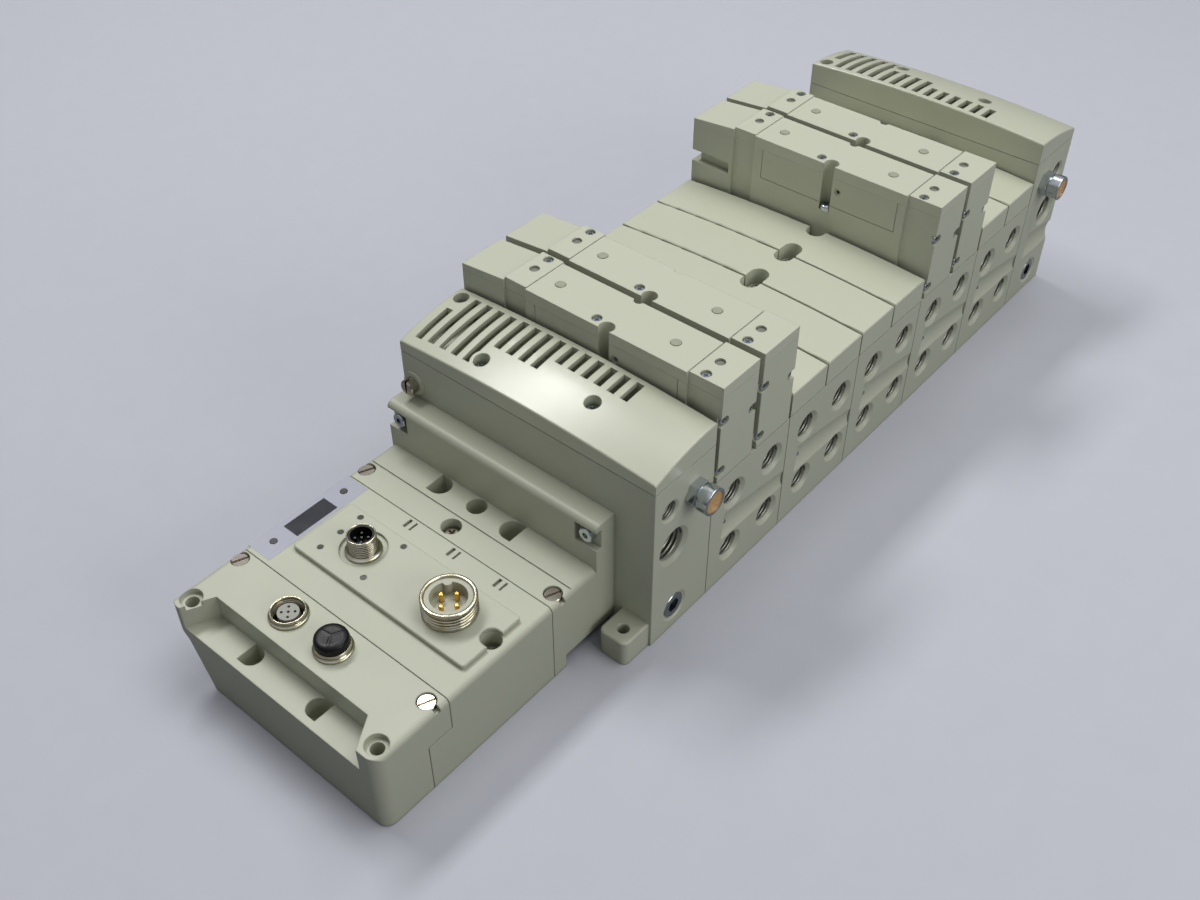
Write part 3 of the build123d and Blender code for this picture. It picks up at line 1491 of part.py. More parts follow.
with BuildPart() as power_connector_insert:
    with BuildSketch(Plane.XY.offset(connector_bore_z)):
        with Locations(power_place):
            Circle(power_bore_radius - insert_fit)
    extrude(amount=power_top_z - power_insert_sink - connector_bore_z)
    with BuildSketch(Plane.XY.offset(power_floor_z)):
        with Locations(power_place):
            Circle(power_bore_radius - insert_fit - power_wall)
            with PolarLocations(power_bore_radius - power_wall, 1, start_angle=power_key_angle):
                Circle(power_key_radius, mode=Mode.SUBTRACT)
    extrude(amount=power_top_z - power_floor_z, mode=Mode.SUBTRACT)
    with BuildSketch(Plane.XY.offset(power_floor_z)):
        with Locations(power_place):
            with PolarLocations(power_pin_circle, power_pin_count):
                Circle(power_pin_radius + insert_fit)
    extrude(amount=connector_bore_z + 1.0 - power_floor_z, mode=Mode.SUBTRACT)
save(power_connector_insert.part, "power_connector_insert")

with BuildPart() as contact_pins:
    with BuildSketch(Plane.XY.offset(connector_bore_z + 1.0)):
        with Locations(data_place):
            Circle(contact_radius)
            with PolarLocations(contact_circle, 4, start_angle=45):
                Circle(contact_radius)
    extrude(amount=data_floor_z + data_pin_rise - connector_bore_z - 1.0)
    with BuildSketch(Plane.XY.offset(connector_bore_z + 1.0)):
        with Locations(power_place):
            with PolarLocations(power_pin_circle, power_pin_count):
                Circle(power_pin_radius)
    extrude(amount=power_floor_z + power_pin_rise - connector_bore_z - 1.0)
    fillet(contact_pins.faces().filter_by(Plane.XY).group_by(Axis.Z)[-1].edges(), power_pin_radius * 0.5)
save(contact_pins.part, "contact_pins")

# Adapter between the electronics and the left end plate, with its tall step
adapter_cavity_z = underside_z + shell_floor
adapter_cavity_top = module_top_z - adapter_pocket_depth - shell_wall
strip_seat_z = module_top_z - strip_hole_depth
notch_top_z = step_top_z - step_edge

with BuildPart() as adapter_housing:
    with BuildSketch(Plane.YZ.offset(comm_end)):
        add(module_profile())
    extrude(amount=adapter_length)
    with BuildSketch(Plane.XZ.offset(-module_front_y)) as step_face:
        with BuildLine():
            Polyline(
                (module_x(step_x), module_top_z - module_edge),
                (module_x(step_x), step_top_z),
                (adapter_end, step_top_z),
                (adapter_end, module_top_z - module_edge),
                close=True,
            )
        make_face()
        fillet(step_face.vertices().group_by(Axis.X)[0].sort_by(Axis.Y)[-1], step_edge)
    extrude(amount=-module_depth)
    with BuildSketch(Plane.XY):
        with Locations(((module_x(underside_x) + adapter_end) / 2, depth_middle_y)):
            Rectangle(adapter_end - module_x(underside_x), module_depth + 2.0)
    extrude(amount=underside_z, mode=Mode.SUBTRACT)
    with BuildSketch(Plane.XY.offset(adapter_cavity_z)):
        with Locations(
            ((comm_end + adapter_end) / 2, (module_front_y + shell_wall + cavity_back_y) / 2)
        ):
            Rectangle(adapter_length - 2 * shell_wall, cavity_back_y - module_front_y - shell_wall)
    extrude(amount=adapter_cavity_top - adapter_cavity_z, mode=Mode.SUBTRACT)
    for pocket_y, pocket_side in adapter_pocket_spots:
        with BuildSketch(Plane.XY.offset(module_top_z)):
            with Locations((module_x(adapter_pocket_x), pocket_y)):
                add(pocket_plan(adapter_pocket_radius, adapter_pocket_flat, pocket_side))
        extrude(amount=-adapter_pocket_depth, mode=Mode.SUBTRACT)
    with BuildSketch(Plane.XY.offset(module_top_z)):
        with Locations((module_x(adapter_hole_x), adapter_hole_y)):
            Circle(adapter_hole_radius)
    extrude(amount=-adapter_pocket_depth, mode=Mode.SUBTRACT)
    with BuildSketch(Plane.XY.offset(module_top_z)):
        with Locations((module_x(strip_hole_x), adapter_hole_y)):
            Circle(adapter_hole_radius)
    extrude(amount=-strip_hole_depth, mode=Mode.SUBTRACT)
    with BuildSketch(Plane.XY.offset(strip_seat_z)):
        with Locations((module_x(strip_hole_x), adapter_hole_y)):
            Circle(slotted_shank_radius + slotted_shank_fit)
    extrude(amount=adapter_cavity_top - strip_seat_z, mode=Mode.SUBTRACT)
    with BuildSketch(Plane.XY.offset(module_top_z)):
        with Locations((comm_end + strip_width, depth_middle_y)):
            Rectangle(strip_line, module_depth + 2.0)
    extrude(amount=-strip_line, mode=Mode.SUBTRACT)
    with BuildSketch(Plane.XY.offset(slotted_seat_z)):
        with Locations(*slotted_spots[2:]):
            Circle(slotted_head_radius + slotted_bore_fit)
        with Locations(*list(channel_places())[2:]):
            Rectangle(slotted_channel, corner_hole_inset)
    extrude(amount=module_top_z - slotted_seat_z, mode=Mode.SUBTRACT)
    with BuildSketch(Plane.XY.offset(slotted_seat_z)):
        with Locations(*slotted_spots[2:]):
            Circle(slotted_shank_radius + slotted_shank_fit)
    extrude(amount=-slotted_shank_length - 1.0, mode=Mode.SUBTRACT)
    with BuildSketch(Plane.YZ.offset(module_x(step_x))):
        for spot_y, _ in socket_screw_spots:
            edge_y = module_front_y if spot_y < 0 else module_back_y
            inner_y = edge_y + step_notch_width if spot_y < 0 else edge_y - step_notch_width
            with Locations(((edge_y + inner_y) / 2, notch_top_z - step_notch_height / 2)):
                Rectangle(step_notch_width, step_notch_height)
    extrude(amount=step_notch_depth, mode=Mode.SUBTRACT)
    with BuildSketch(Plane.YZ.offset(module_x(step_x))):
        with Locations(*socket_screw_spots):
            Circle(socket_shank_radius + socket_shank_fit)
    extrude(amount=adapter_length, mode=Mode.SUBTRACT)
save(adapter_housing.part, "adapter_housing")

# Socket screws that hold the adapter to the end plate
socket_seat_x = module_x(step_x) + step_notch_depth

with BuildPart() as socket_screws:
    cap_screw = socket_screw(
        socket_head_radius, socket_head_height, socket_shank_radius, socket_shank_length, socket_key
    )
    with Locations(*[Location((socket_seat_x, *spot), (0, -90, 0)) for spot in socket_screw_spots]):
        add(cap_screw)
save(socket_screws.part, "socket_screws")

# Slotted screws of the modules, the recessed cross recess ones, and the earth screw on the end plate
with BuildPart() as module_screws:
    module_screw = slotted_screw(slotted_shank_length)
    for place_x, place_y in slotted_spots:
        with Locations(Location((place_x, place_y, slotted_seat_z), (0, 0, slotted_turn))):
            add(module_screw)
    deep_screw = cross_screw(plate_screw_radius, plate_screw_height, slotted_shank_radius, slotted_shank_length)
    strip_screw = cross_screw(
        adapter_hole_radius - 0.9, plate_screw_height, slotted_shank_radius, slotted_shank_length - 3.0
    )
    with Locations((module_x(plate_notch_x), plate_notch_y, plate_pocket_z)):
        add(deep_screw)
    with Locations((module_x(strip_hole_x), adapter_hole_y, strip_seat_z)):
        add(strip_screw)
    with Locations(Location((adapter_end - earth_boss_rise, earth_y, earth_z), (0, -90, 0))):
        add(slotted_screw(slotted_shank_length, earth_head_height))
save(module_screws.part, "module_screws")

# Printed circuit boards with their parts, sealed in the two housings
comm_board_length = comm_cavity_length - board_margin
comm_board_width = cavity_back_y - cavity_front_y - board_margin
adapter_board_width = cavity_back_y - module_front_y - shell_wall - board_margin

with BuildPart() as circuit_boards:
    with BuildSketch(Plane.XY.offset(shell_floor + board_post)):
        with Locations((comm_middle_x, (cavity_front_y + cavity_back_y) / 2)):
            Rectangle(comm_board_length, comm_board_width)
    extrude(amount=board_thickness)
    with BuildSketch(Plane.XY.offset(shell_floor + board_post + board_thickness)):
        with Locations((comm_middle_x, (cavity_front_y + cavity_back_y) / 2)):
            with GridLocations(comm_board_length / 3, comm_board_width / 4, 3, 3):
                Rectangle(comm_board_length / 6, comm_board_width / 8)
    extrude(amount=board_part_height)
    with BuildSketch(Plane.XY.offset(adapter_cavity_z)):
        with Locations(
            ((comm_end + adapter_end) / 2, (module_front_y + shell_wall + cavity_back_y) / 2)
        ):
            Rectangle(adapter_length - 2 * shell_wall - board_margin, adapter_board_width)
    extrude(amount=board_thickness)
    with BuildSketch(Plane.XY.offset(adapter_cavity_z + board_thickness)):
        with Locations(
            ((comm_end + adapter_end) / 2, (module_front_y + shell_wall + cavity_back_y) / 2)
        ):
            with GridLocations(adapter_length / 3, adapter_board_width / 4, 2, 3):
                Rectangle(adapter_length / 6, adapter_board_width / 8)
    extrude(amount=board_part_height)
save(circuit_boards.part, "circuit_boards")
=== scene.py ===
import math

import bmesh
import bpy
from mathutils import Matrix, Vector


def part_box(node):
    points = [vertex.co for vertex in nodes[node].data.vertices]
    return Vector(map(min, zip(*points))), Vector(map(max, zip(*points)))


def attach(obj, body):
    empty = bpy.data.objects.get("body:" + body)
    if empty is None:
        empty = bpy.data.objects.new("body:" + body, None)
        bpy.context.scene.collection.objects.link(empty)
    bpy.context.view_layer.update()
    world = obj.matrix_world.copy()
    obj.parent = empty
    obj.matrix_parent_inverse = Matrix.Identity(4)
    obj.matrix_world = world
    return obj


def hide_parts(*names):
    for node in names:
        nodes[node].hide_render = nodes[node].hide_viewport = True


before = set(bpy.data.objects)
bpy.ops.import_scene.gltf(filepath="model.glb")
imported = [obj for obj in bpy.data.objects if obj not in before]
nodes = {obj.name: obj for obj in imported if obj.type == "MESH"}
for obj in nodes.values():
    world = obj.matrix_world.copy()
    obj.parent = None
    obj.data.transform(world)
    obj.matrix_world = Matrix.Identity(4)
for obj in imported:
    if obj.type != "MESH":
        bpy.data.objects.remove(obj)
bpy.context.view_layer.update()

# ---------------------------------------------------------------------------
# Manifold blocks and end plates.
# Die-cast aluminium with a light greenish grey lacquer. The lacquer is satin, has a very fine
# orange peel, and is thinner along the edges; the edges are paler from wear and from a painted highlight.


def linear(code):
    """An sRGB hex colour as linear numbers."""
    values = [int(code[place : place + 2], 16) / 255 for place in (1, 3, 5)]
    return tuple(v / 12.92 if v <= 0.04045 else ((v + 0.055) / 1.055) ** 2.4 for v in values) + (1.0,)


def feed(node, feeds):
    """Feeds a node's inputs with sockets, hex colours or numbers."""
    for name, value in feeds.items():
        if isinstance(value, bpy.types.NodeSocket):
            node.id_data.links.new(value, node.inputs[name])
        else:
            node.inputs[name].default_value = linear(value) if isinstance(value, str) else value


def add(tree, kind, feeds=None, **settings):
    """One new node with its settings, and its inputs fed."""
    node = tree.nodes.new(kind)
    for name, value in settings.items():
        setattr(node, name, value)
    feed(node, feeds or {})
    return node


def new_finish(name):
    """An empty material, its tree, its shader, and the place on the piece for its textures."""
    material = bpy.data.materials.new(name)
    material.use_nodes = True
    tree = material.node_tree
    place = add(tree, "ShaderNodeTexCoord").outputs["Object"]
    return material, tree, tree.nodes["Principled BSDF"], place


def cloud(tree, place, scale, detail=2.0, **more):
    """Noise, about 0 to 1."""
    feeds = {"Vector": place, "Scale": scale, "Detail": detail, **more}
    return add(tree, "ShaderNodeTexNoise", feeds).outputs["Fac"]


def mixed(tree, share, first, second):
    """Two colours mixed by a share."""
    feeds = {"Factor": share, 6: first, 7: second}
    return add(tree, "ShaderNodeMix", feeds, data_type="RGBA").outputs[2]


def ranged(tree, value, low, high, start=0.0, end=1.0):
    """A value between start and end, moved to between low and high."""
    feeds = {"Value": value, "From Min": start, "From Max": end, "To Min": low, "To Max": high}
    return add(tree, "ShaderNodeMapRange", feeds).outputs["Result"]


def bumped(tree, height, strength, distance, **more):
    """The normal of a fine relief."""
    feeds = {"Height": height, "Strength": strength, "Distance": distance, **more}
    return add(tree, "ShaderNodeBump", feeds).outputs["Normal"]


def wear_and_edge_highlight(tree, patches, edge):
    """0 on the flat and up to 1 along a sharp edge, for rubbed wear and a painted highlight, and the normal
    with its edges eased.
    """
    eased = add(tree, "ShaderNodeBevel", {"Radius": edge}, samples=6).outputs["Normal"]
    face = add(tree, "ShaderNodeNewGeometry").outputs["Normal"]
    match = add(tree, "ShaderNodeVectorMath", {0: eased, 1: face}, operation="DOT_PRODUCT")
    rubbed_and_highlit = ranged(tree, match.outputs["Value"], 0.0, 1.0, start=0.995, end=0.80)
    patchy_rubbed_and_highlit = add(tree, "ShaderNodeMath", {0: rubbed_and_highlit, 1: patches}, operation="MULTIPLY", use_clamp=True)
    return patchy_rubbed_and_highlit.outputs["Value"], eased


def grey_skin(name, colour, shade, worn_and_highlit, gloss, grain, grain_depth, edge):
    """The family's greenish grey, as lacquer or as moulded plastic. grain and edge are in metres."""
    material, tree, shader, place = new_finish(name)
    broad = cloud(tree, place, 28.0, 4.0, Roughness=0.6)
    fine = cloud(tree, place, 1.0 / grain)
    specks = add(tree, "ShaderNodeTexVoronoi", {"Vector": place, "Scale": 420.0}).outputs["Distance"]
    dust = ranged(tree, specks, 0.0, 0.16, start=0.10, end=0.04)
    dusty = mixed(tree, dust, mixed(tree, broad, colour, shade), "#8E8E80")
    # Paler edges: rubbed wear in patches, and a painted highlight along the edges
    rubbed_and_highlit, eased = wear_and_edge_highlight(tree, ranged(tree, broad, 0.2, 0.6, start=0.15, end=0.85), edge)
    edges = mixed(tree, rubbed_and_highlit, dusty, worn_and_highlit)
    # Hollows, corners and seams are darkened towards #605F51 by ambient occlusion: partly grime, partly
    # painted shade
    hollow = add(tree, "ShaderNodeAmbientOcclusion", {"Distance": 0.005}, samples=4, only_local=False)
    grime_and_painted_shade = ranged(tree, hollow.outputs["AO"], 0.0, 0.6, start=0.55, end=0.05)
    feeds = {
        "Base Color": mixed(tree, grime_and_painted_shade, edges, "#605F51"),
        "Roughness": ranged(tree, broad, gloss - 0.05, gloss + 0.06, start=0.1, end=0.9),
        "Normal": bumped(tree, fine, 0.35, grain_depth, Normal=eased),
        "IOR": 1.5,
    }
    feed(shader, feeds)
    return material


def dress(material, *names):
    """Gives CAD nodes their finish in place."""
    for name in names:
        mesh = nodes[name].data
        mesh.materials.clear()
        mesh.materials.append(material)


lacquered_casting = grey_skin(
    "lacquered_die_cast_aluminium",
    colour="#BFC2AE",
    shade="#B9BCA8",
    worn_and_highlit="#CDD0BF",
    gloss=0.42,
    grain=0.0011,
    grain_depth=0.00006,
    edge=0.0007,
)
dress(lacquered_casting, "manifold_block_1", "manifold_block_2", "manifold_block_3", "manifold_block_4")
dress(lacquered_casting, "manifold_block_5", "left_end_plate", "right_end_plate")

# ---------------------------------------------------------------------------
# Threads cut into the ports of the blocks and end plates.
# A tapped pipe thread shows as bright turns just inside each mouth: the tap goes through the
# lacquer, so the flanks are bare aluminium. Two sizes of port, and small exhaust ports.

station_count = 10
station_pitch = 0.0268
stack_start = -0.134
front_y = -0.0675
port_shift = 0.0025
stations = [stack_start + station_pitch * (place + 0.5) for place in range(station_count)]
block_port_heights = (0.0478, 0.0170)

bare_aluminium, tree, shader, place = new_finish("cut_bare_aluminium")
chatter = cloud(tree, place, 900.0, 3.0)
feeds = {
    "Base Color": mixed(tree, chatter, "#A9AAA0", "#8A8B80"),
    "Roughness": ranged(tree, chatter, 0.28, 0.5),
    "Metallic": 0.85,
}
feed(shader, feeds)


def inputs_of(tree, *wanted):
    """The node with a tree's geometry and named inputs, and the node with its output."""
    tree.interface.new_socket("Geometry", in_out="INPUT", socket_type="NodeSocketGeometry")
    for name, kind, value in wanted:
        socket = tree.interface.new_socket(name, in_out="INPUT", socket_type=kind)
        if value is not None:
            socket.default_value = value
    tree.interface.new_socket("Geometry", in_out="OUTPUT", socket_type="NodeSocketGeometry")
    return add(tree, "NodeGroupInput"), add(tree, "NodeGroupOutput")


def set_on_points(tree, given, result, shape):
    """The end of a tree: its shape at every point, tipped over, as plain mesh with its finish."""
    feeds = {"Points": given.outputs["Geometry"], "Instance": shape, "Rotation": given.outputs["Tip"]}
    placed = add(tree, "GeometryNodeInstanceOnPoints", feeds).outputs["Instances"]
    real = add(tree, "GeometryNodeRealizeInstances", {"Geometry": placed}).outputs["Geometry"]
    feeds = {"Geometry": real, "Material": given.outputs["Finish"]}
    finished = add(tree, "GeometryNodeSetMaterial", feeds).outputs["Geometry"]
    tree.links.new(finished, result.inputs["Geometry"])


# One tree for all threads: a triangle runs along a spiral
thread_tree = bpy.data.node_groups.new("thread_turns", "GeometryNodeTree")
given, result = inputs_of(
    thread_tree,
    ("Radius", "NodeSocketFloat", 0.006),
    ("Pitch", "NodeSocketFloat", 0.0013),
    ("Length", "NodeSocketFloat", 0.01),
    ("Tooth", "NodeSocketFloat", 0.0005),
    ("Tooth turn", "NodeSocketFloat", math.pi),
    ("Tip", "NodeSocketRotation", None),
    ("Finish", "NodeSocketMaterial", None),
)
feeds = {0: given.outputs["Length"], 1: given.outputs["Pitch"]}
turns = add(thread_tree, "ShaderNodeMath", feeds, operation="DIVIDE")
feeds = {
    "Resolution": 40,
    "Rotations": turns.outputs["Value"],
    "Start Radius": given.outputs["Radius"],
    "End Radius": given.outputs["Radius"],
    "Height": given.outputs["Length"],
}
spiral = add(thread_tree, "GeometryNodeCurveSpiral", feeds)
upright = add(thread_tree, "GeometryNodeSetCurveNormal", {"Curve": spiral.outputs["Curve"]}, mode="Z_UP")
feeds = {"Resolution": 3, "Radius": given.outputs["Tooth"]}
tooth = add(thread_tree, "GeometryNodeCurvePrimitiveCircle", feeds)
lean = add(thread_tree, "ShaderNodeCombineXYZ", {"Z": given.outputs["Tooth turn"]})
leaning = add(thread_tree, "FunctionNodeEulerToRotation", {"Euler": lean.outputs["Vector"]})
feeds = {"Geometry": tooth.outputs["Curve"], "Rotation": leaning.outputs["Rotation"]}
turned = add(thread_tree, "GeometryNodeTransform", feeds)
feeds = {"Curve": upright.outputs["Curve"], "Profile Curve": turned.outputs["Geometry"], "Fill Caps": True}
swept = add(thread_tree, "GeometryNodeCurveToMesh", feeds)
set_on_points(thread_tree, given, result, swept.outputs["Mesh"])


def grown(name, points, tree, **values):
    """Points put through a tree, as one plain mesh object. A value is named after its input."""
    seeds = bpy.data.meshes.new(name + "_seeds")
    seeds.from_pydata([tuple(point) for point in points], [], [])
    holder = bpy.data.objects.new(name + "_seeds", seeds)
    bpy.context.scene.collection.objects.link(holder)
    modifier = holder.modifiers.new("grow", "NODES")
    modifier.node_group = tree
    for item in tree.interface.items_tree:
        wanted = item.name.replace(" ", "_")
        if item.in_out == "INPUT" and wanted in values:
            modifier[item.identifier] = values[wanted]
    graph = bpy.context.evaluated_depsgraph_get()
    mesh = bpy.data.meshes.new_from_object(holder.evaluated_get(graph))
    mesh.name = name
    bpy.data.objects.remove(holder)
    bpy.data.meshes.remove(seeds)
    made = bpy.data.objects.new(name, mesh)
    bpy.context.scene.collection.objects.link(made)
    return made


# Each thread starts below the chamfer of its mouth and runs into the piece
into_front = (math.radians(-90.0), 0.0, 0.0)
block_chamfer = 0.0018
exhaust_chamfer = 0.0014
supply_chamfer = 0.0022
plate_reach = 0.1714
exhaust_x = plate_reach - 0.0098
exhaust_z = 0.0705
supply_x = plate_reach - 0.0131
supply_z = 0.0490

block_threads = grown(
    "block_port_threads",
    [(x + port_shift, front_y + block_chamfer, height) for x in stations for height in block_port_heights],
    thread_tree,
    Radius=0.0061,
    Pitch=0.001337,
    Length=0.0105,
    Tooth=0.00062,
    Tip=into_front,
    Finish=bare_aluminium,
)
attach(block_threads, "island")

exhaust_threads = grown(
    "small_port_threads",
    [(side * exhaust_x, front_y + exhaust_chamfer, exhaust_z) for side in (-1, 1)],
    thread_tree,
    Radius=0.0045,
    Pitch=0.001,
    Length=0.008,
    Tooth=0.00048,
    Tip=into_front,
    Finish=bare_aluminium,
)
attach(exhaust_threads, "island")

supply_threads = grown(
    "big_port_threads",
    [(side * supply_x, front_y + supply_chamfer, supply_z) for side in (-1, 1)],
    thread_tree,
    Radius=0.0078,
    Pitch=0.001814,
    Length=0.014,
    Tooth=0.0008,
    Tip=into_front,
    Finish=bare_aluminium,
)
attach(supply_threads, "island")

# ---------------------------------------------------------------------------
# Locating pins in the label recesses.
# A small bright steel pin stands at the left end of each slanting recess and holds the label.

block_count = 5
block_pitch = 2 * station_pitch
recess_pin_shift = 0.0103
recess_pin_foot = front_y + 0.0019
recess_pin_z = 0.0356

# One tree for pins and discs: a short cylinder, its top lifted towards the rim or, below 0, domed
pin_tree = bpy.data.node_groups.new("pins_on_points", "GeometryNodeTree")
given, result = inputs_of(
    pin_tree,
    ("Radius", "NodeSocketFloat", 0.0006),
    ("Height", "NodeSocketFloat", 0.001),
    ("Rim lift", "NodeSocketFloat", -0.35),
    ("Tip", "NodeSocketRotation", None),
    ("Finish", "NodeSocketMaterial", None),
)
radius = given.outputs["Radius"]
feeds = {
    "Vertices": 20,
    "Side Segments": 3,
    "Fill Segments": 3,
    "Radius Top": radius,
    "Radius Bottom": radius,
    "Depth": given.outputs["Height"],
}
stem = add(pin_tree, "GeometryNodeMeshCone", feeds)
spot = add(pin_tree, "GeometryNodeInputPosition")
axes = add(pin_tree, "ShaderNodeSeparateXYZ", {"Vector": spot.outputs["Position"]})
flat = add(pin_tree, "ShaderNodeCombineXYZ", {"X": axes.outputs["X"], "Y": axes.outputs["Y"]})
off_axis = add(pin_tree, "ShaderNodeVectorMath", {0: flat.outputs["Vector"]}, operation="LENGTH")
share = add(pin_tree, "ShaderNodeMath", {0: off_axis.outputs["Value"], 1: radius}, operation="DIVIDE")
squared = add(pin_tree, "ShaderNodeMath", {0: share.outputs["Value"], 1: 2.0}, operation="POWER")
sag = add(pin_tree, "ShaderNodeMath", {0: squared.outputs["Value"], 1: radius}, operation="MULTIPLY")
feeds = {0: sag.outputs["Value"], 1: given.outputs["Rim lift"]}
lift = add(pin_tree, "ShaderNodeMath", feeds, operation="MULTIPLY")
lifted = add(pin_tree, "ShaderNodeCombineXYZ", {"Z": lift.outputs["Value"]})
feeds = {
    "Geometry": stem.outputs["Mesh"],
    "Selection": stem.outputs["Top"],
    "Offset": lifted.outputs["Vector"],
}
domed = add(pin_tree, "GeometryNodeSetPosition", feeds)
set_on_points(pin_tree, given, result, domed.outputs["Geometry"])

# Zinc plated steel: bright, with the bluish tint of the passivated coat
zinc_plate, tree, shader, place = new_finish("blue_passivated_zinc_plated_steel")
blotch = cloud(tree, place, 320.0, 4.0)
feeds = {
    "Base Color": mixed(tree, blotch, "#CFD4D6", "#B3BCC2"),
    "Roughness": ranged(tree, blotch, 0.08, 0.24),
    "Normal": bumped(tree, blotch, 0.45, 0.00012),
    "Metallic": 1.0,
}
feed(shader, feeds)

recess_pins = grown(
    "label_recess_pins",
    [
        (stack_start + block_pitch * place + recess_pin_shift, recess_pin_foot, recess_pin_z)
        for place in range(block_count)
    ],
    pin_tree,
    Radius=0.0009,
    Height=0.0024,
    Tip=(math.radians(90.0), 0.0, 0.0),
    Finish=zinc_plate,
)
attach(recess_pins, "island")

# ---------------------------------------------------------------------------
# Covers of the end plates.
# Moulded plastic with a polished tool finish: the same grey, glossier than the castings, so the
# bend along its top carries a long highlight. Small scuffs from handling, and a painted highlight
# along the edges.

glossy_cover = grey_skin(
    "gloss_moulded_plastic",
    colour="#C1C4AF",
    shade="#BCBFAA",
    worn_and_highlit="#CFD2C0",
    gloss=0.23,
    grain=0.0016,
    grain_depth=0.00004,
    edge=0.0006,
)
dress(glossy_cover, "left_end_cover", "right_end_cover")

# ---------------------------------------------------------------------------
# Housings of the electronics, blanking plates and valve bodies.
# Injection moulded plastic in the same grey. Spark eroded tools give it a matt, fine grain, about
# 0.3 mm, drawn a little coarser here so that it shows.

moulded_housing = grey_skin(
    "spark_grained_moulded_plastic",
    colour="#BABDA9",
    shade="#B4B7A3",
    worn_and_highlit="#C8CBBA",
    gloss=0.44,
    grain=0.0007,
    grain_depth=0.00008,
    edge=0.0008,
)
dress(moulded_housing, "end_module_housing", "comm_module_housing", "connector_plate", "adapter_housing")

satin_moulding = grey_skin(
    "satin_moulded_plastic",
    colour="#C3C6B1",
    shade="#BDC0AB",
    worn_and_highlit="#CFD2C0",
    gloss=0.38,
    grain=0.0009,
    grain_depth=0.00005,
    edge=0.0006,
)
dress(satin_moulding, "blanking_plates", "valve_1_body", "valve_2_body", "valve_3_body", "valve_4_body")

# ---------------------------------------------------------------------------
# Valve covers, push buttons and light discs.
# The covers are moulded in a slightly paler grey. The two manual override buttons of each valve
# are darker grey and sit just below the cover, in a round hole.

cover_moulding = grey_skin(
    "pale_satin_moulded_plastic",
    colour="#C6C8B4",
    shade="#C0C3AE",
    worn_and_highlit="#D2D4C3",
    gloss=0.36,
    grain=0.0009,
    grain_depth=0.00005,
    edge=0.0006,
)
dress(cover_moulding, "valve_1_cover", "valve_2_cover", "valve_3_cover", "valve_4_cover")

button_moulding, tree, shader, place = new_finish("grey_acetal")
rings = cloud(tree, place, 700.0)
feeds = {
    "Base Color": mixed(tree, rings, "#84857A", "#74756B"),
    "Normal": bumped(tree, rings, 0.2, 0.00005),
    "Roughness": 0.38,
}
feed(shader, feeds)
for number in (1, 2, 3, 4):
    dress(button_moulding, f"valve_{number}_front_button", f"valve_{number}_back_button")

# Small light discs set in the round recesses of the covers, clouded lenses over a grey light pipe
valve_places = [stations[place] for place in (0, 1, 6, 7)]
lens_shift = -0.0006
lens_rows = (-0.0368, 0.0226)
lens_foot = 0.11145
pipe_lens, tree, shader, place = new_finish("clouded_acrylic_lens")
feeds = {
    "Base Color": mixed(tree, cloud(tree, place, 500.0, 3.0), "#A9AC96", "#989B86"),
    "Roughness": 0.12,
    "IOR": 1.49,
    "Coat Weight": 0.5,
    "Coat Roughness": 0.05,
}
feed(shader, feeds)
light_lenses = grown(
    "valve_light_lenses",
    [(x + lens_shift, y, lens_foot) for x in valve_places for y in lens_rows],
    pin_tree,
    Radius=0.00215,
    Height=0.0009,
    Rim_lift=-0.03,
    Tip=(0.0, 0.0, 0.0),
    Finish=pipe_lens,
)
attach(light_lenses, "island")

# ---------------------------------------------------------------------------
# Screws, tie rods and plugs.
# Standard steel fasteners with a bluish bright zinc plate, and slotted screws of the modules with
# a warmer nickel plate, brushed.

dress(zinc_plate, "station_screws", "cover_screws", "pilot_screws", "socket_screws", "tie_rods", "port_plugs")


def streaked(tree, place, fineness, detail):
    """Noise drawn out into streaks, with its fineness along X, Y and Z."""
    stretch = add(tree, "ShaderNodeMapping", {"Vector": place, "Scale": fineness})
    return cloud(tree, stretch.outputs["Vector"], 1.0, detail)


nickel_screw, tree, shader, place = new_finish("nickel_plated_steel_screw")
brushed = streaked(tree, place, (3500.0, 350.0, 350.0), 3.0)
feeds = {
    "Base Color": mixed(tree, brushed, "#C9C2B6", "#9A9184"),
    "Roughness": ranged(tree, brushed, 0.08, 0.22),
    "Metallic": 1.0,
}
feed(shader, feeds)
dress(nickel_screw, "module_screws")

# ---------------------------------------------------------------------------
# Silencers.
# Turned hexagon body with a rounded cup, zinc plated steel, and a disc of sintered bronze grains
# pressed into it. The grains are 0.2 mm; they are drawn at 0.4 mm so that they show.

dress(zinc_plate, "silencer_bodies")

sintered_bronze, tree, shader, place = new_finish("sintered_bronze")
grains = add(tree, "ShaderNodeTexVoronoi", {"Vector": place, "Scale": 2500.0}).outputs["Distance"]
gaps = ranged(tree, grains, 0.0, 1.0, start=0.1, end=0.6)
pits = add(tree, "ShaderNodeBump", {"Height": grains, "Strength": 0.9, "Distance": 0.0002}, invert=True)
feeds = {
    "Base Color": mixed(tree, gaps, "#FBDFA6", "#CF9C60"),
    "Normal": pits.outputs["Normal"],
    "Metallic": 0.2,
    "Roughness": 0.45,
}
feed(shader, feeds)
dress(sintered_bronze, "silencer_elements")

# ---------------------------------------------------------------------------
# Thread sealant at the screwed plugs.
# A yellowish white film squeezed out in an uneven ring round each plug when it was screwed in.

sealant, tree, shader, place = new_finish("dried_thread_sealant")
crumbs = cloud(tree, place, 1400.0, 4.0)
feeds = {
    "Base Color": mixed(tree, crumbs, "#D8D6B8", "#B7AF86"),
    "Normal": bumped(tree, crumbs, 0.6, 0.0002),
    "Roughness": 0.55,
}
feed(shader, feeds)


def bridge(shape, loops):
    """Faces between every closed loop of points and the next."""
    for lower, upper in zip(loops, loops[1:]):
        for side in range(len(lower)):
            other = (side + 1) % len(lower)
            shape.faces.new((lower[side], lower[other], upper[other], upper[side]))


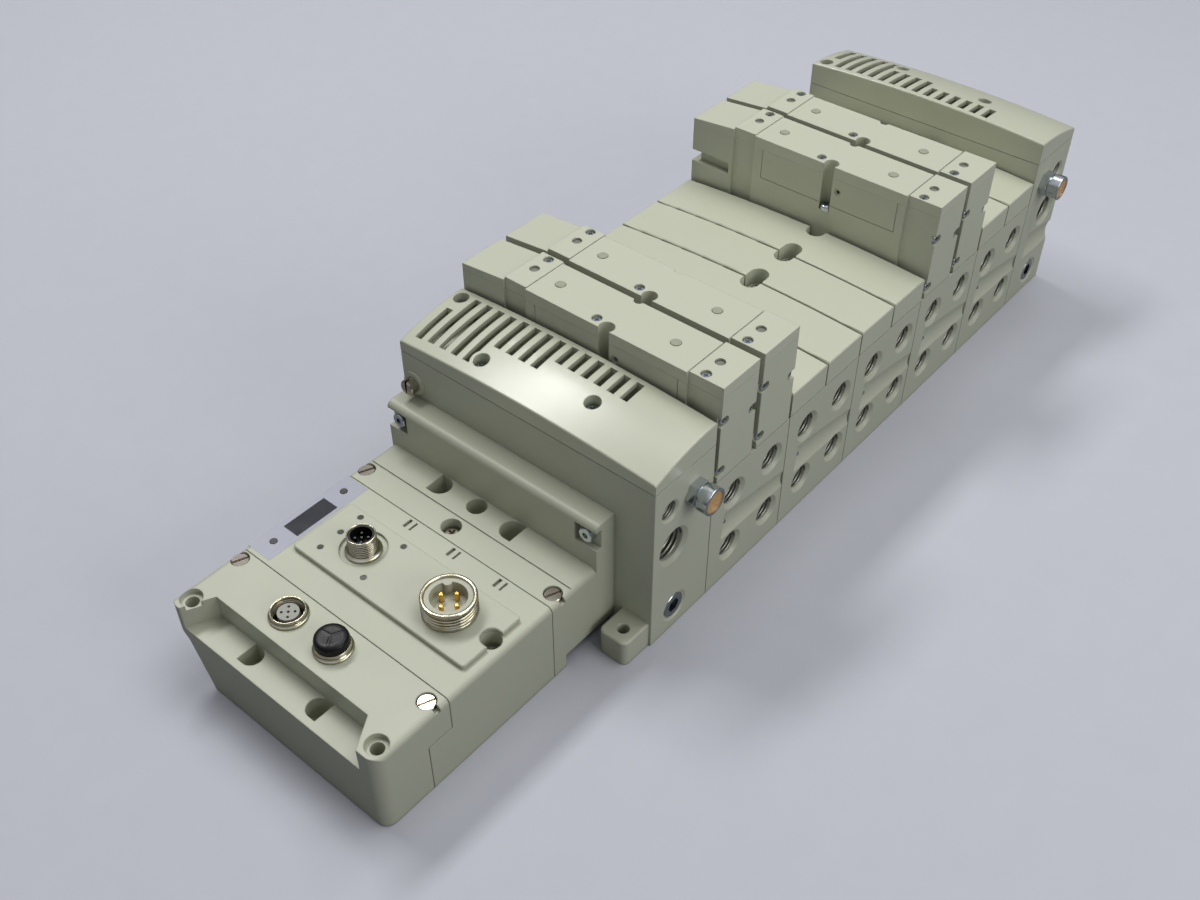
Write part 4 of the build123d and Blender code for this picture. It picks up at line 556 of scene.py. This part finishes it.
def into_scene(name, shape, material, smooth=True):
    """A finished bmesh as an object of the scene."""
    bmesh.ops.recalc_face_normals(shape, faces=shape.faces)
    mesh = bpy.data.meshes.new(name)
    shape.to_mesh(mesh)
    shape.free()
    mesh.materials.append(material)
    mesh.shade_smooth() if smooth else mesh.shade_flat()
    made = bpy.data.objects.new(name, mesh)
    bpy.context.scene.collection.objects.link(made)
    return made


plug_x = plate_reach - 0.0154
plug_z = 0.0116
ring_radius = 0.0066
ring_sink = 0.0009
ring_steps = 48
bead_sides = 8
shape = bmesh.new()
for side in (-1, 1):
    beads = []
    for step in range(ring_steps):
        angle = math.tau * step / ring_steps
        squeezed = 0.00028 + 0.00016 * math.sin(3 * angle + side) + 0.0001 * math.sin(7 * angle + 1.3)
        bead = []
        for corner in range(bead_sides):
            turn = math.tau * corner / bead_sides
            radius = ring_radius + squeezed * 1.6 * math.cos(turn)
            x = side * plug_x + radius * math.cos(angle)
            y = front_y + ring_sink - squeezed * 0.8 * math.sin(turn)
            bead.append(shape.verts.new((x, y, plug_z + radius * math.sin(angle))))
        beads.append(bead)
    bridge(shape, beads + beads[:1])
plug_sealant = into_scene("plug_sealant", shape, sealant)
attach(plug_sealant, "island")

# ---------------------------------------------------------------------------
# Round connectors and sockets of the electronics.
# Turned brass shells with a bright nickel plate: a slim one with a fine 1 mm thread, a wide one with
# a coarse thread of 16 turns to the inch, and two sockets with the thread inside.

nickel_shell, tree, shader, place = new_finish("bright_nickel_plated_brass")
haze = cloud(tree, place, 260.0, 4.0)
warmth = ranged(tree, haze, 0.0, 1.0, start=0.35, end=0.75)
# The roots of the threads are darkened brown by ambient occlusion: painted shade
groove = add(tree, "ShaderNodeAmbientOcclusion", {"Distance": 0.0009}, samples=8, only_local=True)
painted_root_shade = ranged(tree, groove.outputs["AO"], 0.0, 0.95, start=0.88, end=0.52)
feeds = {
    "Base Color": mixed(tree, painted_root_shade, mixed(tree, warmth, "#C6C3B1", "#ABA17D"), "#3B3322"),
    "Roughness": ranged(tree, haze, 0.10, 0.26),
    "Metallic": 1.0,
}
feed(shader, feeds)


def turned_shell(shape, centre, outline, thread_low, thread_high, pitch, depth, inside=False):
    """A lathed cup. outline runs outside from the foot up, over the rim and down the bore."""
    sides = 96
    rings_a_turn = 12
    levels = []
    for (r0, z0), (r1, z1) in zip(outline, outline[1:]):
        low, high = min(z0, z1), max(z0, z1)
        cut_here = (z1 < z0) == inside and abs(r1 - r0) < 1e-6 and high > thread_low and low < thread_high
        pieces = max(1, int((high - low) / pitch * rings_a_turn)) if cut_here else 1
        for piece in range(pieces):
            share = piece / pieces
            levels.append((r0 + (r1 - r0) * share, z0 + (z1 - z0) * share, cut_here))
    levels.append((outline[-1][0], outline[-1][1], False))
    loops = []
    for radius, height, cut_here in levels:
        loop = []
        for side in range(sides):
            angle = math.tau * side / sides
            cut = 0.0
            if cut_here and thread_low <= height <= thread_high:
                tooth = abs(2.0 * ((height / pitch - side / sides) % 1.0) - 1.0)
                ends = min(1.0, (thread_high - height) / pitch, (height - thread_low) / pitch)
                # The crests and the roots are flattened a little
                cut = depth * min(1.0, max(0.0, 1.3 * tooth - 0.15)) * max(0.0, ends)
            reach = radius + cut if inside else radius - cut
            spot = Vector((reach * math.cos(angle), reach * math.sin(angle), height))
            loop.append(shape.verts.new(Vector(centre) + spot))
        loops.append(loop)
    bridge(shape, loops + loops[:1])


module_zero = -0.2999
data_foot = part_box("data_connector_shell")[0].z
data_centre = (module_zero + 0.0655, 0.0288, 0.0)
shape = bmesh.new()
turned_shell(
    shape,
    data_centre,
    [
        (0.0056, data_foot),
        (0.0060, 0.0420),
        (0.0074, 0.0425),
        (0.0076, 0.0427),
        (0.0076, 0.0433),
        (0.0074, 0.0435),
        (0.0060, 0.0437),
        (0.0060, 0.0514),
        (0.00585, 0.0516),
        (0.0056, 0.0518),
        (0.0054, 0.05178),
        (0.0052, 0.0514),
        (0.0052, data_foot),
    ],
    thread_low=0.0438,
    thread_high=0.0513,
    pitch=0.0010,
    depth=0.00058,
)
data_shell = into_scene("data_connector_shell_turned", shape, nickel_shell)
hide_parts("data_connector_shell")
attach(data_shell, "island")

power_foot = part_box("power_connector_shell")[0].z
power_centre = (module_zero + 0.0648, -0.0203, 0.0)
shape = bmesh.new()
turned_shell(
    shape,
    power_centre,
    [
        (0.0106, power_foot),
        (0.0106, 0.0435),
        (0.0111, 0.0437),
        (0.0111, 0.0444),
        (0.0108, 0.0446),
        (0.0111, 0.0448),
        (0.0111, 0.0519),
        (0.0109, 0.0523),
        (0.01065, 0.0525),
        (0.0098, 0.0525),
        (0.0095, 0.0523),
        (0.0094, 0.0519),
        (0.0094, power_foot),
    ],
    thread_low=0.0446,
    thread_high=0.0518,
    pitch=0.0015875,
    depth=0.00125,
)
power_shell = into_scene("power_connector_shell_turned", shape, nickel_shell)
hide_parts("power_connector_shell")
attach(power_shell, "island")

# The two output sockets are the same size, with a flange on the housing
socket_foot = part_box("socket_shells")[0].z
socket_centre = (module_zero + 0.0250, 0.0264, 0.0)
capped_centre = (module_zero + 0.0252, 0.0013, 0.0)
shape = bmesh.new()
for centre in (socket_centre, capped_centre):
    turned_shell(
        shape,
        centre,
        [
            (0.0070, socket_foot),
            (0.0070, 0.0414),
            (0.0077, 0.0415),
            (0.0079, 0.0417),
            (0.0079, 0.0422),
            (0.0077, 0.0424),
            (0.0070, 0.0425),
            (0.0070, 0.0441),
            (0.00688, 0.0444),
            (0.0067, 0.0445),
            (0.0065, 0.0444),
            (0.0062, 0.0441),
            (0.0062, socket_foot),
        ],
        thread_low=0.0385,
        thread_high=0.0441,
        pitch=0.0010,
        depth=0.00045,
        inside=True,
    )
socket_pair = into_scene("socket_shells_turned", shape, nickel_shell)
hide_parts("socket_shells")
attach(socket_pair, "island")

# ---------------------------------------------------------------------------
# Contact carriers and pins.
# Glass filled nylon, black in the data connector, pale in the power connector and grey in the
# output sockets. The pins are gold plated.


def moulded_small(name, colour, shade, gloss, specular=0.5):
    """A small moulding in plain plastic, slightly mottled, with a soft bump."""
    material, tree, shader, place = new_finish(name)
    mottle = cloud(tree, place, 900.0, 3.0)
    feeds = {
        "Base Color": mixed(tree, mottle, colour, shade),
        "Normal": bumped(tree, mottle, 0.3, 0.00006),
        "Roughness": ranged(tree, mottle, gloss - 0.06, gloss + 0.08),
        "IOR": 1.53,
        "Specular IOR Level": specular,
    }
    feed(shader, feeds)
    return material


black_nylon = moulded_small("black_nylon", "#141517", "#0C0D0E", gloss=0.42, specular=0.25)
pale_nylon = moulded_small("pale_grey_nylon", "#B9BAA6", "#A9AA96", gloss=0.42)
grey_nylon = moulded_small("grey_nylon", "#9C9D92", "#8E8F85", gloss=0.45)
dress(black_nylon, "data_connector_insert")
dress(pale_nylon, "power_connector_insert")
dress(grey_nylon, "socket_inserts")

gold_plate, tree, shader, place = new_finish("hard_gold_plate")
tint = mixed(tree, cloud(tree, place, 1200.0), "#F2C468", "#D9A23C")
# The thin pins of the data connector are painted dark grey as shade, the four power pins (y below 0) are
# bright
axes = add(tree, "ShaderNodeSeparateXYZ", {"Vector": place})
painted_shade_side = add(tree, "ShaderNodeMath", {0: axes.outputs["Y"], 1: 0.0}, operation="GREATER_THAN")
feeds = {
    "Base Color": mixed(tree, painted_shade_side.outputs["Value"], tint, "#4B4A45"),
    "Metallic": 1.0,
    "Roughness": 0.18,
}
feed(shader, feeds)
dress(gold_plate, "contact_pins")

# ---------------------------------------------------------------------------
# Dust cap on the second output socket.
# Glossy black plastic, screwed on by hand: a knurled skirt, a rounded shoulder, and a shallow
# three-armed rib on the top where the tool's gate was.

cap_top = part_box("dust_cap")[1].z
cap_x, cap_y = capped_centre[:2]
knurls = 40
knurl_depth = 0.00042
sides = knurls * 6
crown_sink = 0.00015
arm_count = 3
first_arm = 95
arm_reach = 0.0050
arm_taper = 0.0009
arm_half_width = 0.00075
arm_height = 0.00013

# Radius, height, and share of the knurls' full depth
profile = [
    (0.00645, 0.0448, 0.0),
    (0.00675, 0.0449, 0.5),
    (0.0069, 0.0451, 1.0),
    (0.0069, 0.0459, 1.0),
    (0.0069, 0.0467, 1.0),
    (0.0068, 0.0471, 0.5),
    (0.0067, 0.0475, 0.0),
    (0.00655, 0.0480, 0.0),
    (0.0062, 0.0485, 0.0),
    (0.0056, 0.0488, 0.0),
    (0.0048, 0.04895, 0.0),
    (0.0040, 0.04895, 0.0),
    (0.0032, 0.04893, 0.0),
    (0.0024, 0.04892, 0.0),
    (0.0016, 0.04891, 0.0),
    (0.0009, 0.04890, 0.0),
    (0.0003, 0.04890, 0.0),
]
under_profile = ((0.0061, 0.0448), (0.0061, 0.0470), (0.0005, 0.0472))


def rib_lift(x, y, radius):
    """Height of the three-armed rib at a place on the cap's top."""
    lift = 0.0
    for arm in range(arm_count):
        along = math.radians(first_arm + 360 / arm_count * arm)
        forward = x * math.cos(along) + y * math.sin(along)
        aside = abs(-x * math.sin(along) + y * math.cos(along))
        if forward > 0:
            swell = max(0.0, 1.0 - (aside / arm_half_width) ** 2)
            taper = min(1.0, (arm_reach - radius) / arm_taper)
            lift = max(lift, arm_height * swell * taper)
    return lift


shape = bmesh.new()
loops = []
for radius, height, knurl in profile:
    loop = []
    for side in range(sides):
        angle = math.tau * side / sides
        groove = 0.5 - 0.5 * math.cos(knurls * angle)
        reach = radius - knurl_depth * knurl * groove**2
        x, y = reach * math.cos(angle), reach * math.sin(angle)
        z = min(height - crown_sink + rib_lift(x, y, radius), cap_top)
        loop.append(shape.verts.new((cap_x + x, cap_y + y, z)))
    loops.append(loop)
under = []
for radius, height in under_profile:
    loop = []
    for side in range(sides):
        angle = math.tau * side / sides
        spot = (cap_x + radius * math.cos(angle), cap_y + radius * math.sin(angle), height)
        loop.append(shape.verts.new(spot))
    under.append(loop)
bridge(shape, loops)
shape.faces.new(loops[-1])
bridge(shape, loops[:1] + under)
shape.faces.new(under[-1])
gloss_black = moulded_small("gloss_black_moulded_cap", "#0E0E0F", "#070708", gloss=0.34, specular=0.22)
cap_piece = into_scene("dust_cap_knurled", shape, gloss_black)
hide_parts("dust_cap")
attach(cap_piece, "cap")

# ---------------------------------------------------------------------------
# Display panel.
# A silver polyester film, printed on the back, with a dark window over the display. The two keys
# are black prints with a dome under the film.

silver_film, tree, shader, place = new_finish("silver_polyester_film")
streaks = streaked(tree, place, (220.0, 4200.0, 220.0), 3.0)
feeds = {
    "Base Color": mixed(tree, streaks, "#A2A4AD", "#92949F"),
    "Roughness": ranged(tree, streaks, 0.40, 0.52),
    "Metallic": 0.2,
}
feed(shader, feeds)
dress(silver_film, "display_label")

dark_window, tree, shader, place = new_finish("smoked_polyester_window")
smears = cloud(tree, place, 180.0, 5.0)
feeds = {
    "Base Color": mixed(tree, smears, "#292D34", "#1E2127"),
    "Roughness": ranged(tree, smears, 0.10, 0.24),
}
feed(shader, feeds)
dress(dark_window, "display_window")
key_black = moulded_small("black_printed_film", "#1B1B1E", "#131315", gloss=0.40)
dress(key_black, "set_button", "next_button")

# ---------------------------------------------------------------------------
# Indicator lights round the data connector.
# Five clear-grey light pipes, unlit, flush with the plate.

unlit_pipe = moulded_small("unlit_light_pipe", "#45473F", "#363832", gloss=0.16)
dress(unlit_pipe, "indicator_lights")

# ---------------------------------------------------------------------------
# Inner pieces: gaskets, spools, pilot solenoids and circuit boards.
# Nitrile rubber is matt black with a dusty bloom. The spools are ground steel. The solenoids are
# moulded in black nylon. The boards have green solder mask with copper tracks under it.

nitrile, tree, shader, place = new_finish("nitrile_rubber")
bloom = cloud(tree, place, 600.0, 4.0)
feed(shader, {"Base Color": mixed(tree, bloom, "#26261F", "#34342E"), "Roughness": 0.75})
dress(nitrile, "block_gaskets", "station_gaskets")

ground_steel, tree, shader, place = new_finish("ground_steel")
lay = streaked(tree, place, (300.0, 5000.0, 300.0), 2.0)
feeds = {"Base Color": mixed(tree, lay, "#C9CBCE", "#A3A6AA"), "Metallic": 1.0, "Roughness": 0.22}
feed(shader, feeds)
dress(ground_steel, "valve_1_spool", "valve_2_spool", "valve_3_spool", "valve_4_spool")
dress(black_nylon, "pilot_solenoids")

solder_mask, tree, shader, place = new_finish("green_solder_mask")
feeds = {
    "Vector": place,
    "Scale": 260.0,
    "Mortar Size": 0.06,
    "Color1": "#1E6B3A",
    "Color2": "#1A5F33",
    "Mortar": "#3C8F4E",
}
tracks = add(tree, "ShaderNodeTexBrick", feeds)
feed(shader, {"Base Color": tracks.outputs["Color"], "Roughness": 0.3})
dress(solder_mask, "circuit_boards")

# ---------------------------------------------------------------------------
# Floor, backdrop, light and camera.
# A plain pale floor that carries the shadow, soft boxes overhead, behind and on the side of the
# ports, and a dim world. The camera stands where the photograph was taken from.

floor_radius = 2.0
floor_z = -0.0002
floor_edges = 48
floor_finish, tree, shader, place = new_finish("pale_floor")
tone = mixed(tree, cloud(tree, place, 60.0), "#C2C4CC", "#BEC0C9")
# Only the camera sees the floor this pale, so that it throws less light back up at the sides
seen = add(tree, "ShaderNodeLightPath").outputs["Is Camera Ray"]
feeds = {
    "Base Color": mixed(tree, seen, "#7E7F86", tone),
    "Roughness": 0.8,
    "Specular IOR Level": 0.2,
}
feed(shader, feeds)
# Far from the object it melts into the backdrop, so that no view shows an edge or a dark distance
reach = add(tree, "ShaderNodeVectorMath", {0: place}, operation="LENGTH").outputs["Value"]
far = ranged(tree, reach, 0.0, 1.0, start=0.7, end=1.7)
clear = add(tree, "ShaderNodeBsdfTransparent")
melting = add(tree, "ShaderNodeMixShader", {0: far, 1: shader.outputs["BSDF"], 2: clear.outputs["BSDF"]})
feed(tree.nodes["Material Output"], {"Surface": melting.outputs["Shader"]})
shape = bmesh.new()
rim = []
for edge in range(floor_edges):
    angle = math.tau * edge / floor_edges
    rim.append(shape.verts.new((floor_radius * math.cos(angle), floor_radius * math.sin(angle), floor_z)))
shape.faces.new(rim)
floor = into_scene("floor", shape, floor_finish, smooth=False)

# The room gives little light of its own. Polished metal sees it dark at the horizon, bright above.
world = bpy.data.worlds.new("studio")
bpy.context.scene.world = world
world.use_nodes = True
tree = world.node_tree
heading = add(tree, "ShaderNodeSeparateXYZ", {"Vector": add(tree, "ShaderNodeTexCoord").outputs["Generated"]})
overhead = ranged(tree, heading.outputs["Z"], 0.12, 0.75, start=0.1, end=0.9)
seen = add(tree, "ShaderNodeLightPath")
level = add(tree, "ShaderNodeMix", {"Factor": seen.outputs["Is Glossy Ray"], "A": 0.2, "B": overhead})
feeds = {"Factor": seen.outputs["Is Camera Ray"], "A": level.outputs["Result"], "B": 0.57}
shown = add(tree, "ShaderNodeMix", feeds)
feed(tree.nodes["Background"], {"Color": "#EEF0F7", "Strength": shown.outputs["Result"]})

lit_centre = Vector((-0.05, 0.0, 0.05))


def soft_light(name, place, size, power):
    """A soft box that looks at the object."""
    lamp = bpy.data.lights.new(name, "AREA")
    lamp.shape = "RECTANGLE"
    lamp.size, lamp.size_y = size
    lamp.energy = power
    lit = bpy.data.objects.new(name, lamp)
    bpy.context.scene.collection.objects.link(lit)
    lit.location = place
    lit.rotation_mode = "QUATERNION"
    lit.rotation_quaternion = (lit_centre - Vector(place)).to_track_quat("-Z", "Y")


soft_light("ceiling_panel", place=(0.45, -0.2, 1.6), size=(1.3, 0.9), power=12.0)
soft_light("ceiling_tube", place=(0.0, 0.85, 1.45), size=(0.9, 0.25), power=12.0)
soft_light("window_side", place=(-0.05, -1.5, 0.7), size=(0.9, 0.8), power=7.4)

# The photograph is 1200 pixels wide, and its camera was solved with this focal length in pixels
sensor_width = 36.0
focal_pixels = 1328.59
photo_pixels = 1200.0
camera = bpy.data.objects.new("camera", bpy.data.cameras.new("camera"))
bpy.context.scene.collection.objects.link(camera)
camera.data.sensor_width = sensor_width
camera.data.lens = focal_pixels * sensor_width / photo_pixels
camera.location = (-0.448891, -0.276243, 0.428773)
camera.rotation_euler = [math.radians(angle) for angle in (47.338, 0.113, -49.789)]
camera.data.clip_start = 0.01
bpy.context.scene.camera = camera

bpy.context.scene.view_settings.view_transform = "Standard"
